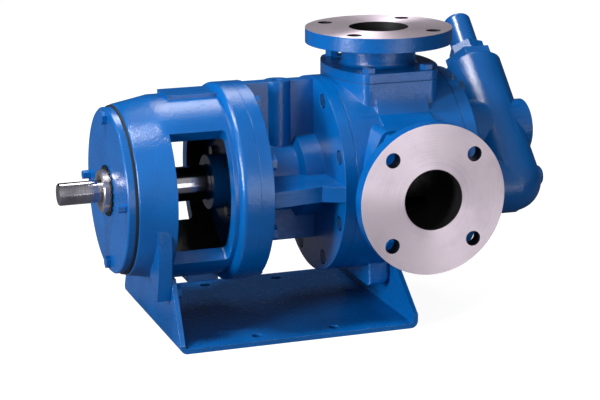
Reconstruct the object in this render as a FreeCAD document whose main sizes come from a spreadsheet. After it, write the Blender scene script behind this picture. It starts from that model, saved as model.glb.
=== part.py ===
import FreeCAD, Part
import math
import os
import Sketcher
from FreeCAD import Placement, Rotation, Vector

# Foot-mounted internal gear pump with flanged ports and a relief valve.
# Millimetres. X runs along the shaft, with the shaft end at -X and the pump head at +X.
# The side port looks along -Y and the top port along +Z.
# The origin is the centre of the base's hole pattern, on the base's underside.

doc = FreeCAD.newDocument("gear_pump")
sizes = doc.addObject("Spreadsheet::Sheet", "sizes")
stations = doc.addObject("App::VarSet", "stations")

SIZES = {
    "Base": {
        "base_length": 314.0,
        "base_width": 274.0,
        "base_plate": 6.35,
        "bend_radius": 9.5,
        "shaft_height": 180.0,
        "upright_edge_front": 12.5,
        "upright_drop_front": 94.0,
        "upright_width_front": 200.0,
        "upright_edge_back": 18.0,
        "upright_drop_back": 116.0,
        "upright_width_back": 152.0,
        "saddle_clearance": 1.6,
        "base_hole": 14.0,
        "base_hole_pitch_long": 102.0,
        "base_hole_pitch_wide": 230.0,
    },
    "Shaft line": {
        "port_offset": 155.0,
        "ring_diameter": 254.0,
        "joint_gasket": 0.5,
        "gasket_margin": 1.0,
        "gasket_inset": 0.5,
        "bracket_length": 125.5,
        "bracket_ring": 17.0,
        "bracket_flange": 16.0,
        "housing_ring": 25.0,
        "window_margin": 6.0,
        "window_length": 72.0,
        "window_upper_angle": 46.1,
        "window_lower_angle": 42.6,
        "window_corner": 6.0,
        "drum_length": 47.0,
        "drum_diameter": 234.0,
        "drum_front_diameter": 216.0,
        "drum_front_round": 3.0,
        "ring_shoulder_round": 8.0,
        "drum_wall": 18.0,
        "drum_front_wall": 17.0,
        "cover_gasket_thickness": 2.7,
        "cover_gasket_diameter": 214.0,
        "cover_thickness": 10.0,
        "cover_diameter": 210.0,
        "cover_edge": 1.5,
        "shaft_projection": 63.1,
    },
    "Legs": {
        "leg_thickness": 17.5,
        "leg_half_width": 97.0,
        "leg_drop": 122.0,
        "leg_foot_width": 7.0,
        "leg_inner": 66.0,
        "leg_toe_width": 11.0,
        "leg_toe_height": 5.0,
        "leg_flare": 110.0,
        "leg_flare_top": 30.0,
        "leg_flare_drop": 55.0,
        "leg_knee": 107.0,
        "leg_knee_drop": 88.6,
        "leg_screw_half_pitch": 93.0,
        "leg_screw_drop": 112.0,
        "foot_length": 30.0,
        "foot_half_width": 57.0,
        "foot_drop": 144.5,
        "foot_corner": 7.0,
        "foot_round": 6.0,
        "foot_root": 8.0,
        "foot_screw_half_pitch": 38.0,
        "foot_screw_drop": 133.0,
        "pad_rise": 3.0,
        "pad_half_width": 24.0,
        "pad_length": 64.0,
        "lug_drop": 9.0,
        "lug_half_width": 18.0,
        "lug_length": 40.0,
    },
    "Shaft": {
        "shaft_end_diameter": 28.575,
        "shaft_chamfer": 1.5,
        "keyway_width": 6.35,
        "keyway_depth": 3.2,
        "keyway_length": 50.0,
        "keyway_turn": 20.0,
        "bearing_bore": 40.0,
        "bearing_outside": 80.0,
        "bearing_width": 18.0,
        "bearing_setback": 4.0,
        "ball_diameter": 11.9,
        "ball_count": 9.0,
        "race_thickness": 5.4,
        "race_groove_slack": 0.1,
        "cage_thickness": 3.6,
        "cage_width": 14.4,
        "shaft_diameter": 44.45,
        "shaft_clearance": 1.5,
        "rotor_seat_diameter": 38.0,
        "nut_diameter": 54.0,
        "nut_thickness": 8.0,
        "nut_slots": 6.0,
        "nut_slot_width": 7.0,
        "nut_slot_depth": 2.4,
        "nut_chamfer": 1.2,
        "washer_diameter": 64.8,
        "washer_thickness": 1.5,
        "washer_gap": 0.6,
        "washer_teeth": 18.0,
        "washer_tooth_depth": 3.2,
        "washer_notch_width": 4.4,
        "collar_diameter": 52.0,
        "collar_taper": 2.0,
        "collar_step": 0.5,
        "cover_seal_diameter": 72.0,
        "cover_seal_width": 8.0,
        "cover_seal_setback": 1.5,
        "cover_opening": 58.0,
        "hub_diameter": 104.0,
        "housing_seal_diameter": 62.0,
        "housing_seal_width": 9.0,
        "housing_seal_wall": 4.0,
        "seal_lip_clearance": 0.05,
        "seal_lip_depth": 3.0,
    },
    "Bracket": {
        "bracket_spigot": 20.0,
        "front_spigot": 4.0,
        "seal_hub_diameter": 108.0,
        "seal_hub_front_diameter": 88.0,
        "seal_hub_step": 78.0,
        "seal_hub_taper": 6.0,
        "web_thickness": 16.0,
        "side_web_thickness": 20.0,
        "side_web_waist": 113.0,
        "side_web_flare": 26.0,
        "bottom_web_depth": 84.0,
        "seal_port_boss": 33.5,
        "seal_port_bore": 13.0,
        "seal_port_recess": 2.0,
        "chamber_diameter": 64.0,
        "packing_section": 9.4,
        "packing_before": 5.0,
        "packing_after": 2.0,
        "lantern_length": 14.0,
        "lantern_groove": 4.0,
        "packing_gap": 0.2,
        "bushing_diameter": 60.0,
        "bushing_length": 44.0,
        "gland_length": 21.0,
        "gland_diameter": 70.0,
        "gland_flange": 7.0,
        "gland_flange_diameter": 112.0,
        "gland_nose": 9.3,
        "gland_screw_circle": 90.0,
        "gland_gap": 5.0,
        "gland_clearance": 1.0,
    },
    "Pumping head": {
        "casing_length": 152.0,
        "chamber_bore": 184.0,
        "port_bore": 76.0,
        "port_face": 186.5,
        "pad_height": 127.5,
        "pad_half_length": 71.0,
        "pad_half_depth": 80.0,
        "pad_front_half": 47.0,
        "pad_round": 12.0,
        "skirt_top": 108.0,
        "skirt_depth": 40.0,
        "skirt_slope": 0.53,
        "adapter_plate": 12.0,
        "adapter_neck": 96.0,
        "adapter_neck_round": 5.0,
        "adapter_gasket": 0.5,
        "port_flange_diameter": 190.5,
        "port_flange_thickness": 19.0,
        "port_hole_circle": 152.4,
        "port_hole": 19.0,
        "head_flange": 16.0,
        "head_spigot": 22.0,
        "head_boss": 20.0,
    },
    "Gears": {
        "gear_module": 13.0,
        "rotor_teeth": 12.0,
        "idler_teeth": 9.0,
        "roller_radius": 9.0,
        "rotor_addendum": 9.0,
        "idler_addendum": 9.5,
        "tooth_clearance": 1.0,
        "backlash": 0.35,
        "rotor_disc": 18.0,
        "rotor_end_gap": 0.5,
        "gear_end_gap": 0.3,
        "crescent_gap": 0.25,
        "crescent_half_angle": 52.0,
        "idler_pin_diameter": 40.0,
        "idler_bushing_diameter": 52.0,
        "rotor_key_width": 10.0,
        "rotor_key_height": 8.0,
        "rotor_key_gap": 1.0,
    },
    "Relief valve": {
        "valve_offset": 180.0,
        "valve_tilt": 45.0,
        "valve_body_diameter": 80.0,
        "valve_branch_diameter": 75.0,
        "valve_port_offset": 45.0,
        "valve_body_top": 144.0,
        "valve_shoulder": 5.0,
        "valve_shoulder_diameter": 71.0,
        "valve_branch_overrun": 42.0,
        "valve_upper_root": 86.0,
        "valve_lower_root": 74.0,
        "valve_elbow_rise": 5.0,
        "valve_flange": 14.0,
        "valve_flange_upper": 124.0,
        "valve_flange_lower": 108.0,
        "valve_passage": 36.0,
        "valve_seat_bore": 40.0,
        "valve_seat_station": 18.0,
        "valve_bore": 54.0,
        "valve_wall_bottom": 8.0,
        "poppet_length": 46.0,
        "poppet_wall": 6.0,
        "poppet_gap": 0.3,
        "poppet_chamfer": 2.0,
        "spring_diameter": 34.0,
        "spring_wire": 5.0,
        "spring_turns": 6.0,
        "spring_plate": 8.0,
        "spring_plate_gap": 1.0,
        "spring_pilot": 7.0,
        "pilot_gap": 0.5,
        "pilot_chamfer": 1.5,
        "bonnet_hex": 62.0,
        "bonnet_height": 11.0,
        "bonnet_nose": 12.0,
        "bonnet_stub": 7.0,
        "bonnet_stub_diameter": 29.6,
        "adjusting_screw": 16.0,
        "adjusting_chamfer": 1.0,
        "adjusting_reach": 26.0,
        "adjusting_slack": 13.0,
        "lock_nut_hex": 24.0,
        "lock_nut_height": 10.0,
        "cap_hex": 44.0,
        "cap_hex_height": 15.0,
        "cap_diameter": 38.0,
        "cap_length": 50.0,
        "cap_round": 6.0,
        "cap_turn": 20.0,
        "cap_wall": 4.0,
        "cap_end_wall": 5.0,
        "cap_gasket_thickness": 2.5,
        "cap_gasket_lip": 1.0,
        "end_plug_diameter": 27.0,
        "end_plug_reach": 4.0,
        "end_plug_rise": 10.0,
        "end_plug_depth": 14.0,
        "end_plug_chamfer": 2.0,
    },
    "Fasteners and fits": {
        "running_fit": 0.05,
        "seat_fit": 0.02,
        "screw_clearance": 0.15,
        "screw_end_gap": 1.0,
        "overrun": 5.0,
        "lap": 1.0,
        "ring_screw": 10.0,
        "ring_screw_head": 17.0,
        "ring_screw_circle": 232.0,
        "head_screw": 10.0,
        "head_screw_head": 15.0,
        "head_screw_circle": 222.0,
        "rear_screw_head": 17.0,
        "rear_screw_circle": 231.0,
        "screw_recess": 7.0,
        "screw_recess_diameter": 19.0,
        "head_height_ratio": 0.7,
        "screw_reach": 14.0,
        "cover_screw": 8.0,
        "cover_screw_head": 14.0,
        "cover_screw_circle": 186.0,
        "lock_screw": 6.0,
        "lock_screw_head": 10.0,
        "lock_screw_height": 10.5,
        "adapter_screw": 10.0,
        "adapter_screw_head": 16.0,
        "adapter_screw_half_long": 39.0,
        "adapter_screw_half_wide": 68.0,
        "foot_screw": 10.0,
        "foot_screw_head": 16.0,
        "gland_screw": 8.0,
        "gland_screw_head": 13.0,
        "valve_screw": 8.0,
        "valve_screw_head": 13.0,
        "valve_screw_upper_wide": 50.0,
        "valve_screw_upper_drop": 2.0,
        "valve_screw_lower_wide": 33.0,
        "valve_screw_lower_drop": 75.0,
        "ring_screw_count": 8.0,
        "head_screw_count": 8.0,
    },
}

row = 1
for group, entries in SIZES.items():
    sizes.set("A%d" % row, group)
    row += 1
    for alias, amount in entries.items():
        sizes.set("A%d" % row, alias.replace("_", " "))
        sizes.set("B%d" % row, str(amount))
        sizes.setAlias("B%d" % row, alias)
        row += 1
doc.recompute()

# Stations along the shaft and the sizes that follow from others, in the order they build up.
STATIONS = {
    "port": "sizes.port_offset",
    "upright_top_front": "sizes.shaft_height - sizes.upright_drop_front",
    "upright_top_back": "sizes.shaft_height - sizes.upright_drop_back",
    "casing_front": "sizes.port_offset - sizes.casing_length / 2",
    "casing_back": "sizes.port_offset + sizes.casing_length / 2",
    "bracket_back": "stations.casing_front - sizes.joint_gasket",
    "bracket_front": "stations.bracket_back - sizes.bracket_length",
    "spigot_back": "stations.bracket_back + sizes.bracket_spigot",
    "ring_front": "stations.bracket_front - sizes.housing_ring",
    "window_back": "stations.ring_front - sizes.window_margin",
    "window_front": "stations.window_back - sizes.window_length",
    "housing_front": "stations.window_front - sizes.drum_length",
    "cover_back": "stations.housing_front - sizes.cover_gasket_thickness",
    "cover_front": "stations.cover_back - sizes.cover_thickness",
    "washer_back": "stations.cover_front - sizes.washer_gap",
    "washer_front": "stations.washer_back - sizes.washer_thickness",
    "nut_front": "stations.washer_front - sizes.nut_thickness",
    "shaft_end": "stations.cover_front - sizes.shaft_projection",
    "bearing_front": "stations.housing_front + sizes.bearing_setback",
    "bearing_back": "stations.bearing_front + sizes.bearing_width",
    "bearing_middle": "stations.bearing_front + sizes.bearing_width / 2",
    "ball_circle": "(sizes.bearing_bore + sizes.bearing_outside) / 4",
    "cover_seal_front": "stations.cover_back - sizes.cover_seal_width + sizes.cover_seal_setback",
    "housing_seal_front": "stations.window_front - sizes.housing_seal_wall - sizes.housing_seal_width",
    "base_front": "-sizes.base_length / 2",
    "base_back": "sizes.base_length / 2",
    "leg_front": "stations.base_front - sizes.leg_thickness",
    "foot_back": "stations.base_back - sizes.base_plate",
    "ring_bore": "sizes.drum_diameter / 2 - sizes.drum_wall",
    "rotor_front": "stations.spigot_back + sizes.rotor_end_gap",
    "rotor_face": "stations.rotor_front + sizes.rotor_disc",
    "head_front": "stations.casing_back + sizes.joint_gasket",
    "head_back": "stations.head_front + sizes.head_flange",
    "head_inner": "stations.head_front - sizes.head_spigot",
    "head_end": "stations.head_back + sizes.head_boss",
    "gland_front": "stations.bracket_front - sizes.gland_gap - sizes.gland_flange - sizes.gland_length",
    "gland_flange_front": "stations.bracket_front - sizes.gland_gap - sizes.gland_flange",
    "gland_flange_back": "stations.bracket_front - sizes.gland_gap",
    "gland_nose_end": "stations.bracket_front + sizes.gland_nose",
    "lantern_front": "stations.gland_nose_end + sizes.packing_before * sizes.packing_section",
    "lantern_back": "stations.lantern_front + sizes.lantern_length",
    "chamber_end": "stations.lantern_back + sizes.packing_after * sizes.packing_section",
    "bushing_front": "stations.spigot_back - sizes.bushing_length",
    "centre_distance": "sizes.gear_module * (sizes.rotor_teeth - sizes.idler_teeth) / 2",
    "idler_across": "-stations.centre_distance * cos(sizes.valve_tilt * 1 deg)",
    "idler_up": "stations.centre_distance * sin(sizes.valve_tilt * 1 deg)",
    "rotor_pitch": "sizes.gear_module * sizes.rotor_teeth / 2",
    "idler_pitch": "sizes.gear_module * sizes.idler_teeth / 2",
    "rotor_tip": "stations.rotor_pitch - sizes.rotor_addendum",
    "idler_tip": "stations.idler_pitch + sizes.idler_addendum",
    "rotor_outside": "sizes.chamber_bore / 2 - 2 * sizes.running_fit",
    "valve": "sizes.port_offset + sizes.valve_offset",
    "valve_flange_front": "stations.head_end + sizes.joint_gasket - stations.valve",
    "valve_flange_back": "stations.valve_flange_front + sizes.valve_flange",
    "valve_shoulder_top": "sizes.valve_body_top + sizes.valve_shoulder",
    "bonnet_top": "stations.valve_shoulder_top + sizes.bonnet_height",
    "cap_foot": "stations.bonnet_top + sizes.cap_gasket_thickness",
    "cap_hex_top": "stations.cap_foot + sizes.cap_hex_height",
    "cap_top": "stations.cap_hex_top + sizes.cap_length",
    "poppet_foot": "sizes.valve_seat_station + sizes.poppet_gap",
    "poppet_floor": "stations.poppet_foot + sizes.poppet_wall",
    "bonnet_foot": "sizes.valve_body_top - sizes.bonnet_nose",
    "spring_plate_back": "stations.bonnet_foot - sizes.adjusting_slack",
    "spring_plate_front": "stations.spring_plate_back - sizes.spring_plate",
    "stub_top": "stations.bonnet_top + sizes.bonnet_stub",
    "lock_nut_top": "stations.stub_top + sizes.lock_nut_height",
    "flange_lean": "(sizes.valve_flange_upper - sizes.valve_flange_lower) / 4 / sizes.valve_port_offset",
    "flange_spread": "sqrt(1 - stations.flange_lean * stations.flange_lean)",
}
for name in STATIONS:
    stations.addProperty("App::PropertyFloat", name, "Stations")
for name, words in STATIONS.items():
    stations.setExpression(name, words)
doc.recompute()


def number(words):
    """The present value of an expression."""
    return float(doc.sizes.evalExpression(words))


def bind(thing, **words):
    """Binds properties of a document object to expressions."""
    for name, text in words.items():
        thing.setExpression(name.replace("__", "."), text)
    return thing


def place(thing, x="0", y="0", z="0", turn=None):
    """Puts an object at a point given by expressions, with a fixed turn."""
    if turn:
        thing.Placement = Placement(Vector(), turn)
    return bind(thing, Placement__Base__x=x, Placement__Base__y=y, Placement__Base__z=z)


# Edges are picked by where they lie, to within this distance.
NEAR = 0.1

ALONG_X = Rotation(Vector(0, 1, 0), 90)
ALONG_Y_BACK = Rotation(Vector(1, 0, 0), 90)


def cylinder(name, radius, length, x="0", y="0", z="0", turn=None):
    """A round bar or hole."""
    bar = doc.addObject("Part::Cylinder", name)
    bind(bar, Radius=radius, Height=length)
    return place(bar, x, y, z, turn)


def bar_along_x(name, radius, start, end, y="0", z="0"):
    """A round bar or hole along the shaft, from one station to another."""
    return cylinder(name, radius, "(%s) - (%s)" % (end, start), start, y, z, ALONG_X)


def block(name, x, y, z):
    """A box between pairs of expressions."""
    box = doc.addObject("Part::Box", name)
    bind(box, Length="(%s) - (%s)" % (x[1], x[0]), Width="(%s) - (%s)" % (y[1], y[0]))
    bind(box, Height="(%s) - (%s)" % (z[1], z[0]))
    return place(box, x[0], y[0], z[0])


def hexagon(name, across_flats, height, x="0", y="0", z="0", turn=None):
    """A hexagonal prism, sized across its flats."""
    prism = doc.addObject("Part::Prism", name)
    prism.Polygon = 6
    bind(prism, Circumradius="(%s) / 2 / cos(30 deg)" % across_flats, Height=height)
    return place(prism, x, y, z, turn)


def fuse(name, *pieces):
    """Several pieces made one."""
    union = doc.addObject("Part::MultiFuse", name)
    union.Shapes = list(pieces)
    union.Refine = True
    return union


def cut(name, base, *tools):
    """A piece with tools taken away from it."""
    difference = doc.addObject("Part::Cut", name)
    difference.Base = base
    difference.Tool = tools[0] if len(tools) == 1 else fuse(name + "_tools", *tools)
    difference.Refine = True
    return difference


def group(name, pieces):
    """Loose copies of a piece, kept together."""
    compound = doc.addObject("Part::Compound", name)
    compound.Links = list(pieces)
    return compound


def origin_plane(body, role):
    """One of a body's own base planes."""
    return [plane for plane in body.Origin.OriginFeatures if plane.Role == role][0]


def sketch(body, name, role, lift="0"):
    """A sketch on one of the body's base planes, lifted along the plane's normal."""
    drawing = body.newObject("Sketcher::SketchObject", name)
    drawing.AttachmentSupport = [(origin_plane(body, role), "")]
    drawing.MapMode = "FlatFace"
    if lift != "0":
        drawing.setExpression("AttachmentOffset.Base.z", lift)
    return drawing


def draw(drawing, corners):
    """A closed outline, with each corner held by two dimensions from the origin."""
    first = drawing.GeometryCount
    count = len(corners)
    points = [Vector(number(a), number(b), 0) for a, b in corners]
    for index in range(count):
        drawing.addGeometry(Part.LineSegment(points[index], points[(index + 1) % count]))
    for index in range(count):
        joint = Sketcher.Constraint("Coincident", first + index, 2, first + (index + 1) % count, 1)
        drawing.addConstraint(joint)
    for index, corner in enumerate(corners):
        for kind, words in zip(("DistanceX", "DistanceY"), corner):
            size = Sketcher.Constraint(kind, -1, 1, first + index, 1, number(words))
            drawing.setExpression("Constraints[%d]" % drawing.addConstraint(size), words)
    return drawing


def draw_circle(drawing, x, y, radius):
    """A circle, with its centre and radius held by dimensions."""
    centre = Vector(number(x), number(y), 0)
    index = drawing.addGeometry(Part.Circle(centre, Vector(0, 0, 1), number(radius)))
    for kind, words in (("DistanceX", x), ("DistanceY", y)):
        size = Sketcher.Constraint(kind, -1, 1, index, 3, number(words))
        drawing.setExpression("Constraints[%d]" % drawing.addConstraint(size), words)
    size = Sketcher.Constraint("Radius", index, number(radius))
    drawing.setExpression("Constraints[%d]" % drawing.addConstraint(size), radius)
    return drawing


def turned(name, outline):
    """A body turned about the shaft's line; the outline lists station and radius."""
    body = doc.addObject("PartDesign::Body", name)
    drawing = draw(sketch(body, name + "_outline", "XZ_Plane"), outline)
    turning = body.newObject("PartDesign::Revolution", name + "_turning")
    turning.Profile = drawing
    turning.ReferenceAxis = (drawing, ["H_Axis"])
    turning.Angle = 360
    return body


def spun(name, outline):
    """A body turned about its own upright line; the outline lists radius and height."""
    body = doc.addObject("PartDesign::Body", name)
    drawing = draw(sketch(body, name + "_outline", "XZ_Plane"), outline)
    turning = body.newObject("PartDesign::Revolution", name + "_turning")
    turning.Profile = drawing
    turning.ReferenceAxis = (drawing, ["V_Axis"])
    turning.Angle = 360
    return body


def padded(name, role, outline, start, end):
    """A body made by padding an outline from one level to another."""
    body = doc.addObject("PartDesign::Body", name)
    drawing = draw(sketch(body, name + "_outline", role, start), outline)
    pad = body.newObject("PartDesign::Pad", name + "_pad")
    pad.Profile = drawing
    bind(pad, Length="(%s) - (%s)" % (end, start))
    return body


def pocket(body, drawing, name, reverse=False):
    """Cuts a sketch through the body, on one side of the sketch."""
    hole = body.newObject("PartDesign::Pocket", name)
    hole.Profile = drawing
    hole.Type = "ThroughAll"
    hole.Reversed = reverse
    return hole


def round_edges(body, name, radius, wanted):
    """Rounds the edges of a body's tip that the test picks."""
    doc.recompute()
    tip = body.Tip
    edges = ["Edge%d" % (i + 1) for i, edge in enumerate(tip.Shape.Edges) if wanted(edge)]
    rounding = body.newObject("PartDesign::Fillet", name)
    rounding.Base = (tip, edges)
    bind(rounding, Radius=radius)
    return rounding


def circle_places(count, diameter, first_angle):
    """Expressions for places on a bolt circle about the shaft's line."""
    steps = int(number(count))
    angles = [first_angle + 360.0 * step / steps for step in range(steps)]
    reach = "(%s) / 2" % diameter
    return [("%s * cos(%.9g deg)" % (reach, a), "%s * sin(%.9g deg)" % (reach, a)) for a in angles]


def screws_along_x(name, places, size, head, seat, reach, toward, head_height=None):
    """Hexagon screws along the shaft: head on the seat, shank reaching the other way."""
    height = head_height or "(%s) * sizes.head_height_ratio" % size
    made = []
    for index, (y, z) in enumerate(places):
        tag = "%s_%d" % (name, index + 1)
        if toward > 0:
            ends = (seat, "(%s) + (%s)" % (seat, reach))
            head_at = "(%s) - (%s)" % (seat, height)
        else:
            ends = ("(%s) - (%s)" % (seat, reach), seat)
            head_at = seat
        shank = bar_along_x(tag + "_shank", "(%s) / 2" % size, ends[0], ends[1], y, z)
        cap = hexagon(tag + "_head", head, height, head_at, y, z, ALONG_X)
        made.append(fuse(tag, shank, cap))
    return group(name, made)


def holes_along_x(name, places, diameter, start, end):
    """Round holes along the shaft at the given places."""
    return [
        bar_along_x("%s_%d" % (name, index + 1), "(%s) / 2" % diameter, start, end, y, z)
        for index, (y, z) in enumerate(places)
    ]


parts = {}


def keep(thing, label, home="shaft"):
    """Labels a finished sub-part and puts it in its place on the pump."""
    if home == "shaft":
        place(thing, z="sizes.shaft_height")
    if home == "valve":
        tilt = Rotation(Vector(1, 0, 0), -number("sizes.valve_tilt"))
        place(thing, x="stations.valve", z="sizes.shaft_height", turn=tilt)
    if home == "top port":
        place(thing, x="stations.port", z="sizes.shaft_height")
    if home == "side port":
        place(thing, x="stations.port", z="sizes.shaft_height", turn=ALONG_Y_BACK)
    thing.Label = label
    parts[label] = thing
    return thing


# Places of the screws, as pairs of expressions across the shaft.
ring_places = circle_places("sizes.ring_screw_count", "sizes.ring_screw_circle", 22.5)
head_places = circle_places("sizes.head_screw_count", "sizes.head_screw_circle", 22.5)
rear_places = circle_places("sizes.head_screw_count", "sizes.rear_screw_circle", 22.5)
cover_places = circle_places("2", "sizes.cover_screw_circle", 90)
lock_places = circle_places("2", "sizes.cover_screw_circle", 0)
gland_places = circle_places("4", "sizes.gland_screw_circle", 45)
leg_places = [(sign + "sizes.leg_screw_half_pitch", "-sizes.leg_screw_drop") for sign in ("-", "")]
foot_places = [(sign + "sizes.foot_screw_half_pitch", "-sizes.foot_screw_drop") for sign in ("-", "")]
adapter_places = [
    (long_sign + "sizes.adapter_screw_half_long", wide_sign + "sizes.adapter_screw_half_wide")
    for long_sign in ("-", "") for wide_sign in ("-", "")
]

# Base: one plate bent up at both ends, with sloping sides and a saddle for the bearing drum.
base = padded(
    "base",
    "XZ_Plane",
    [
        ("stations.base_front", "0"),
        ("stations.base_back", "0"),
        ("stations.base_back", "stations.upright_top_back"),
        ("stations.foot_back", "stations.upright_top_back"),
        ("stations.foot_back", "sizes.base_plate"),
        ("stations.base_front + sizes.base_plate", "sizes.base_plate"),
        ("stations.base_front + sizes.base_plate", "stations.upright_top_front"),
        ("stations.base_front", "stations.upright_top_front"),
    ],
    "-sizes.base_width / 2",
    "sizes.base_width / 2",
)


def is_bend(edge):
    """True for the four long edges at the two bends."""
    box = edge.BoundBox
    across = box.YLength > number("sizes.base_width") - NEAR
    low = box.ZMax < number("sizes.base_plate") + NEAR
    reach = min(abs(box.XMin), abs(box.XMax))
    return across and low and reach > number("stations.foot_back") - NEAR


def is_outer_bend(edge):
    """True for the bends' outer edges, on the underside."""
    return is_bend(edge) and edge.BoundBox.ZMax < NEAR


def is_inner_bend(edge):
    """True for the bends' inner edges, on the plate's top."""
    return is_bend(edge) and edge.BoundBox.ZMax > NEAR


round_edges(base, "base_inner_bends", "sizes.bend_radius - sizes.base_plate", is_inner_bend)
round_edges(base, "base_outer_bends", "sizes.bend_radius", is_outer_bend)

for end, edge, top, width, reverse in (
    ("front", "sizes.upright_edge_front", "stations.upright_top_front", "sizes.upright_width_front", False),
    ("back", "sizes.upright_edge_back", "stations.upright_top_back", "sizes.upright_width_back", True),
):
    slopes = sketch(base, "base_slopes_" + end, "YZ_Plane")
    for sign in ("", "-"):
        draw(
            slopes,
            [
                (sign + "sizes.base_width / 2", edge),
                (sign + "(sizes.base_width / 2 + sizes.overrun)", edge),
                (sign + "(sizes.base_width / 2 + sizes.overrun)", top + " + sizes.overrun"),
                (sign + width + " / 2", top + " + sizes.overrun"),
                (sign + width + " / 2", top),
            ],
        )
    pocket(base, slopes, "base_slope_cut_" + end, reverse)

floor_holes = sketch(base, "base_floor_holes", "XY_Plane")
for x_sign in ("-", ""):
    for y_sign in ("-", ""):
        draw_circle(
            floor_holes,
            x_sign + "sizes.base_hole_pitch_long / 2",
            y_sign + "sizes.base_hole_pitch_wide / 2",
            "sizes.base_hole / 2",
        )
pocket(base, floor_holes, "base_floor_hole_cut", True)

base_tools = [
    bar_along_x(
        "base_saddle_" + end,
        diameter + " / 2 + sizes.saddle_clearance",
        middle + " - sizes.base_plate - sizes.overrun",
        middle + " + sizes.base_plate + sizes.overrun",
        "0",
        "sizes.shaft_height",
    )
    for end, diameter, middle in (
        ("front", "sizes.drum_diameter", "stations.base_front"),
        ("back", "sizes.ring_diameter", "stations.base_back"),
    )
]
for tag, places, start in (
    ("leg_hole", leg_places, "stations.base_front - sizes.overrun"),
    ("foot_hole", foot_places, "stations.foot_back - sizes.overrun"),
):
    lifted = [(y, z + " + sizes.shaft_height") for y, z in places]
    diameter = "sizes.foot_screw + 2 * sizes.screw_clearance"
    end = start + " + sizes.base_plate + 2 * sizes.overrun"
    base_tools += holes_along_x(tag, lifted, diameter, start, end)
keep(cut("base_drilled", base, *base_tools), "base_frame", "floor")

# Bearing housing: a cast drum and ring joined by two arms, with a leg on each side.
housing_outside = turned(
    "housing_outside",
    [
        ("stations.housing_front", "0"),
        ("stations.housing_front", "sizes.drum_front_diameter / 2"),
        ("stations.window_front", "sizes.drum_diameter / 2"),
        ("stations.ring_front", "sizes.drum_diameter / 2"),
        ("stations.ring_front", "sizes.ring_diameter / 2"),
        ("stations.bracket_front", "sizes.ring_diameter / 2"),
        ("stations.bracket_front", "0"),
    ],
)


def is_ring_shoulder(edge):
    """True for the ring's outer edge on the drum's side."""
    box = edge.BoundBox
    flat = box.XLength < NEAR and abs(box.XMin - number("stations.ring_front")) < NEAR
    return flat and box.ZLength > number("sizes.ring_diameter") - NEAR


def is_drum_front(edge):
    """True for the drum's outer edge round its front face."""
    box = edge.BoundBox
    flat = box.XLength < NEAR and abs(box.XMin - number("stations.housing_front")) < NEAR
    return flat and box.ZLength > number("sizes.drum_front_diameter") - NEAR


round_edges(housing_outside, "ring_shoulder", "sizes.ring_shoulder_round", is_ring_shoulder)
round_edges(housing_outside, "drum_front_edge", "sizes.drum_front_round", is_drum_front)

housing_legs = []
leg_root_drop = "sqrt(pow(sizes.drum_diameter / 2; 2) - pow(sizes.leg_inner; 2))"
leg_toe = ("(sizes.leg_half_width - sizes.leg_toe_width)", "-(sizes.leg_drop - sizes.leg_toe_height)")
for side, sign in (("near", "-"), ("far", "")):
    housing_legs.append(
        padded(
            "housing_leg_" + side,
            "YZ_Plane",
            [
                (sign + "sizes.leg_inner", "-sizes.leg_flare_top"),
                (sign + "sizes.leg_inner", "-" + leg_root_drop),
                (sign + leg_toe[0], leg_toe[1]),
                (sign + "(sizes.leg_half_width - sizes.leg_foot_width)", "-sizes.leg_drop"),
                (sign + "sizes.leg_half_width", "-sizes.leg_drop"),
                (sign + "sizes.leg_knee", "-sizes.leg_knee_drop"),
                (sign + "sizes.leg_flare", "-sizes.leg_flare_drop"),
                (sign + "sizes.leg_flare", "-sizes.leg_flare_top"),
            ],
            "stations.leg_front",
            "stations.base_front",
        )
    )
top_pad = block(
    "housing_top_pad",
    ("stations.ring_front - sizes.pad_length", "stations.ring_front"),
    ("-sizes.pad_half_width", "sizes.pad_half_width"),
    ("stations.ring_bore", "sizes.drum_diameter / 2 + sizes.pad_rise"),
)
bottom_lug = block(
    "housing_bottom_lug",
    ("stations.ring_front - sizes.lug_length", "stations.ring_front"),
    ("-sizes.lug_half_width", "sizes.lug_half_width"),
    ("-sizes.drum_diameter / 2 - sizes.lug_drop", "-stations.ring_bore"),
)
housing_solid = fuse("housing_solid", housing_outside, *housing_legs, top_pad, bottom_lug)
housing_cavity = turned(
    "housing_cavity",
    [
        ("stations.window_front", "0"),
        ("stations.window_front", "sizes.hub_diameter / 2"),
        ("stations.housing_front + sizes.drum_front_wall", "sizes.hub_diameter / 2"),
        ("stations.housing_front + sizes.drum_front_wall", "stations.ring_bore"),
        ("stations.bracket_front + sizes.overrun", "stations.ring_bore"),
        ("stations.bracket_front + sizes.overrun", "0"),
    ],
)
bearing_seat = turned(
    "bearing_seat",
    [
        ("stations.housing_front - sizes.overrun", "0"),
        ("stations.housing_front - sizes.overrun", "sizes.bearing_outside / 2 + sizes.seat_fit"),
        ("stations.bearing_back", "sizes.bearing_outside / 2 + sizes.seat_fit"),
        ("stations.bearing_back", "sizes.housing_seal_diameter / 2 + sizes.seat_fit"),
        (
            "stations.housing_seal_front + sizes.housing_seal_width",
            "sizes.housing_seal_diameter / 2 + sizes.seat_fit",
        ),
        (
            "stations.housing_seal_front + sizes.housing_seal_width",
            "sizes.shaft_diameter / 2 + sizes.shaft_clearance",
        ),
        ("stations.window_front + sizes.overrun", "sizes.shaft_diameter / 2 + sizes.shaft_clearance"),
        ("stations.window_front + sizes.overrun", "0"),
    ],
)
windows = []
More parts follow.
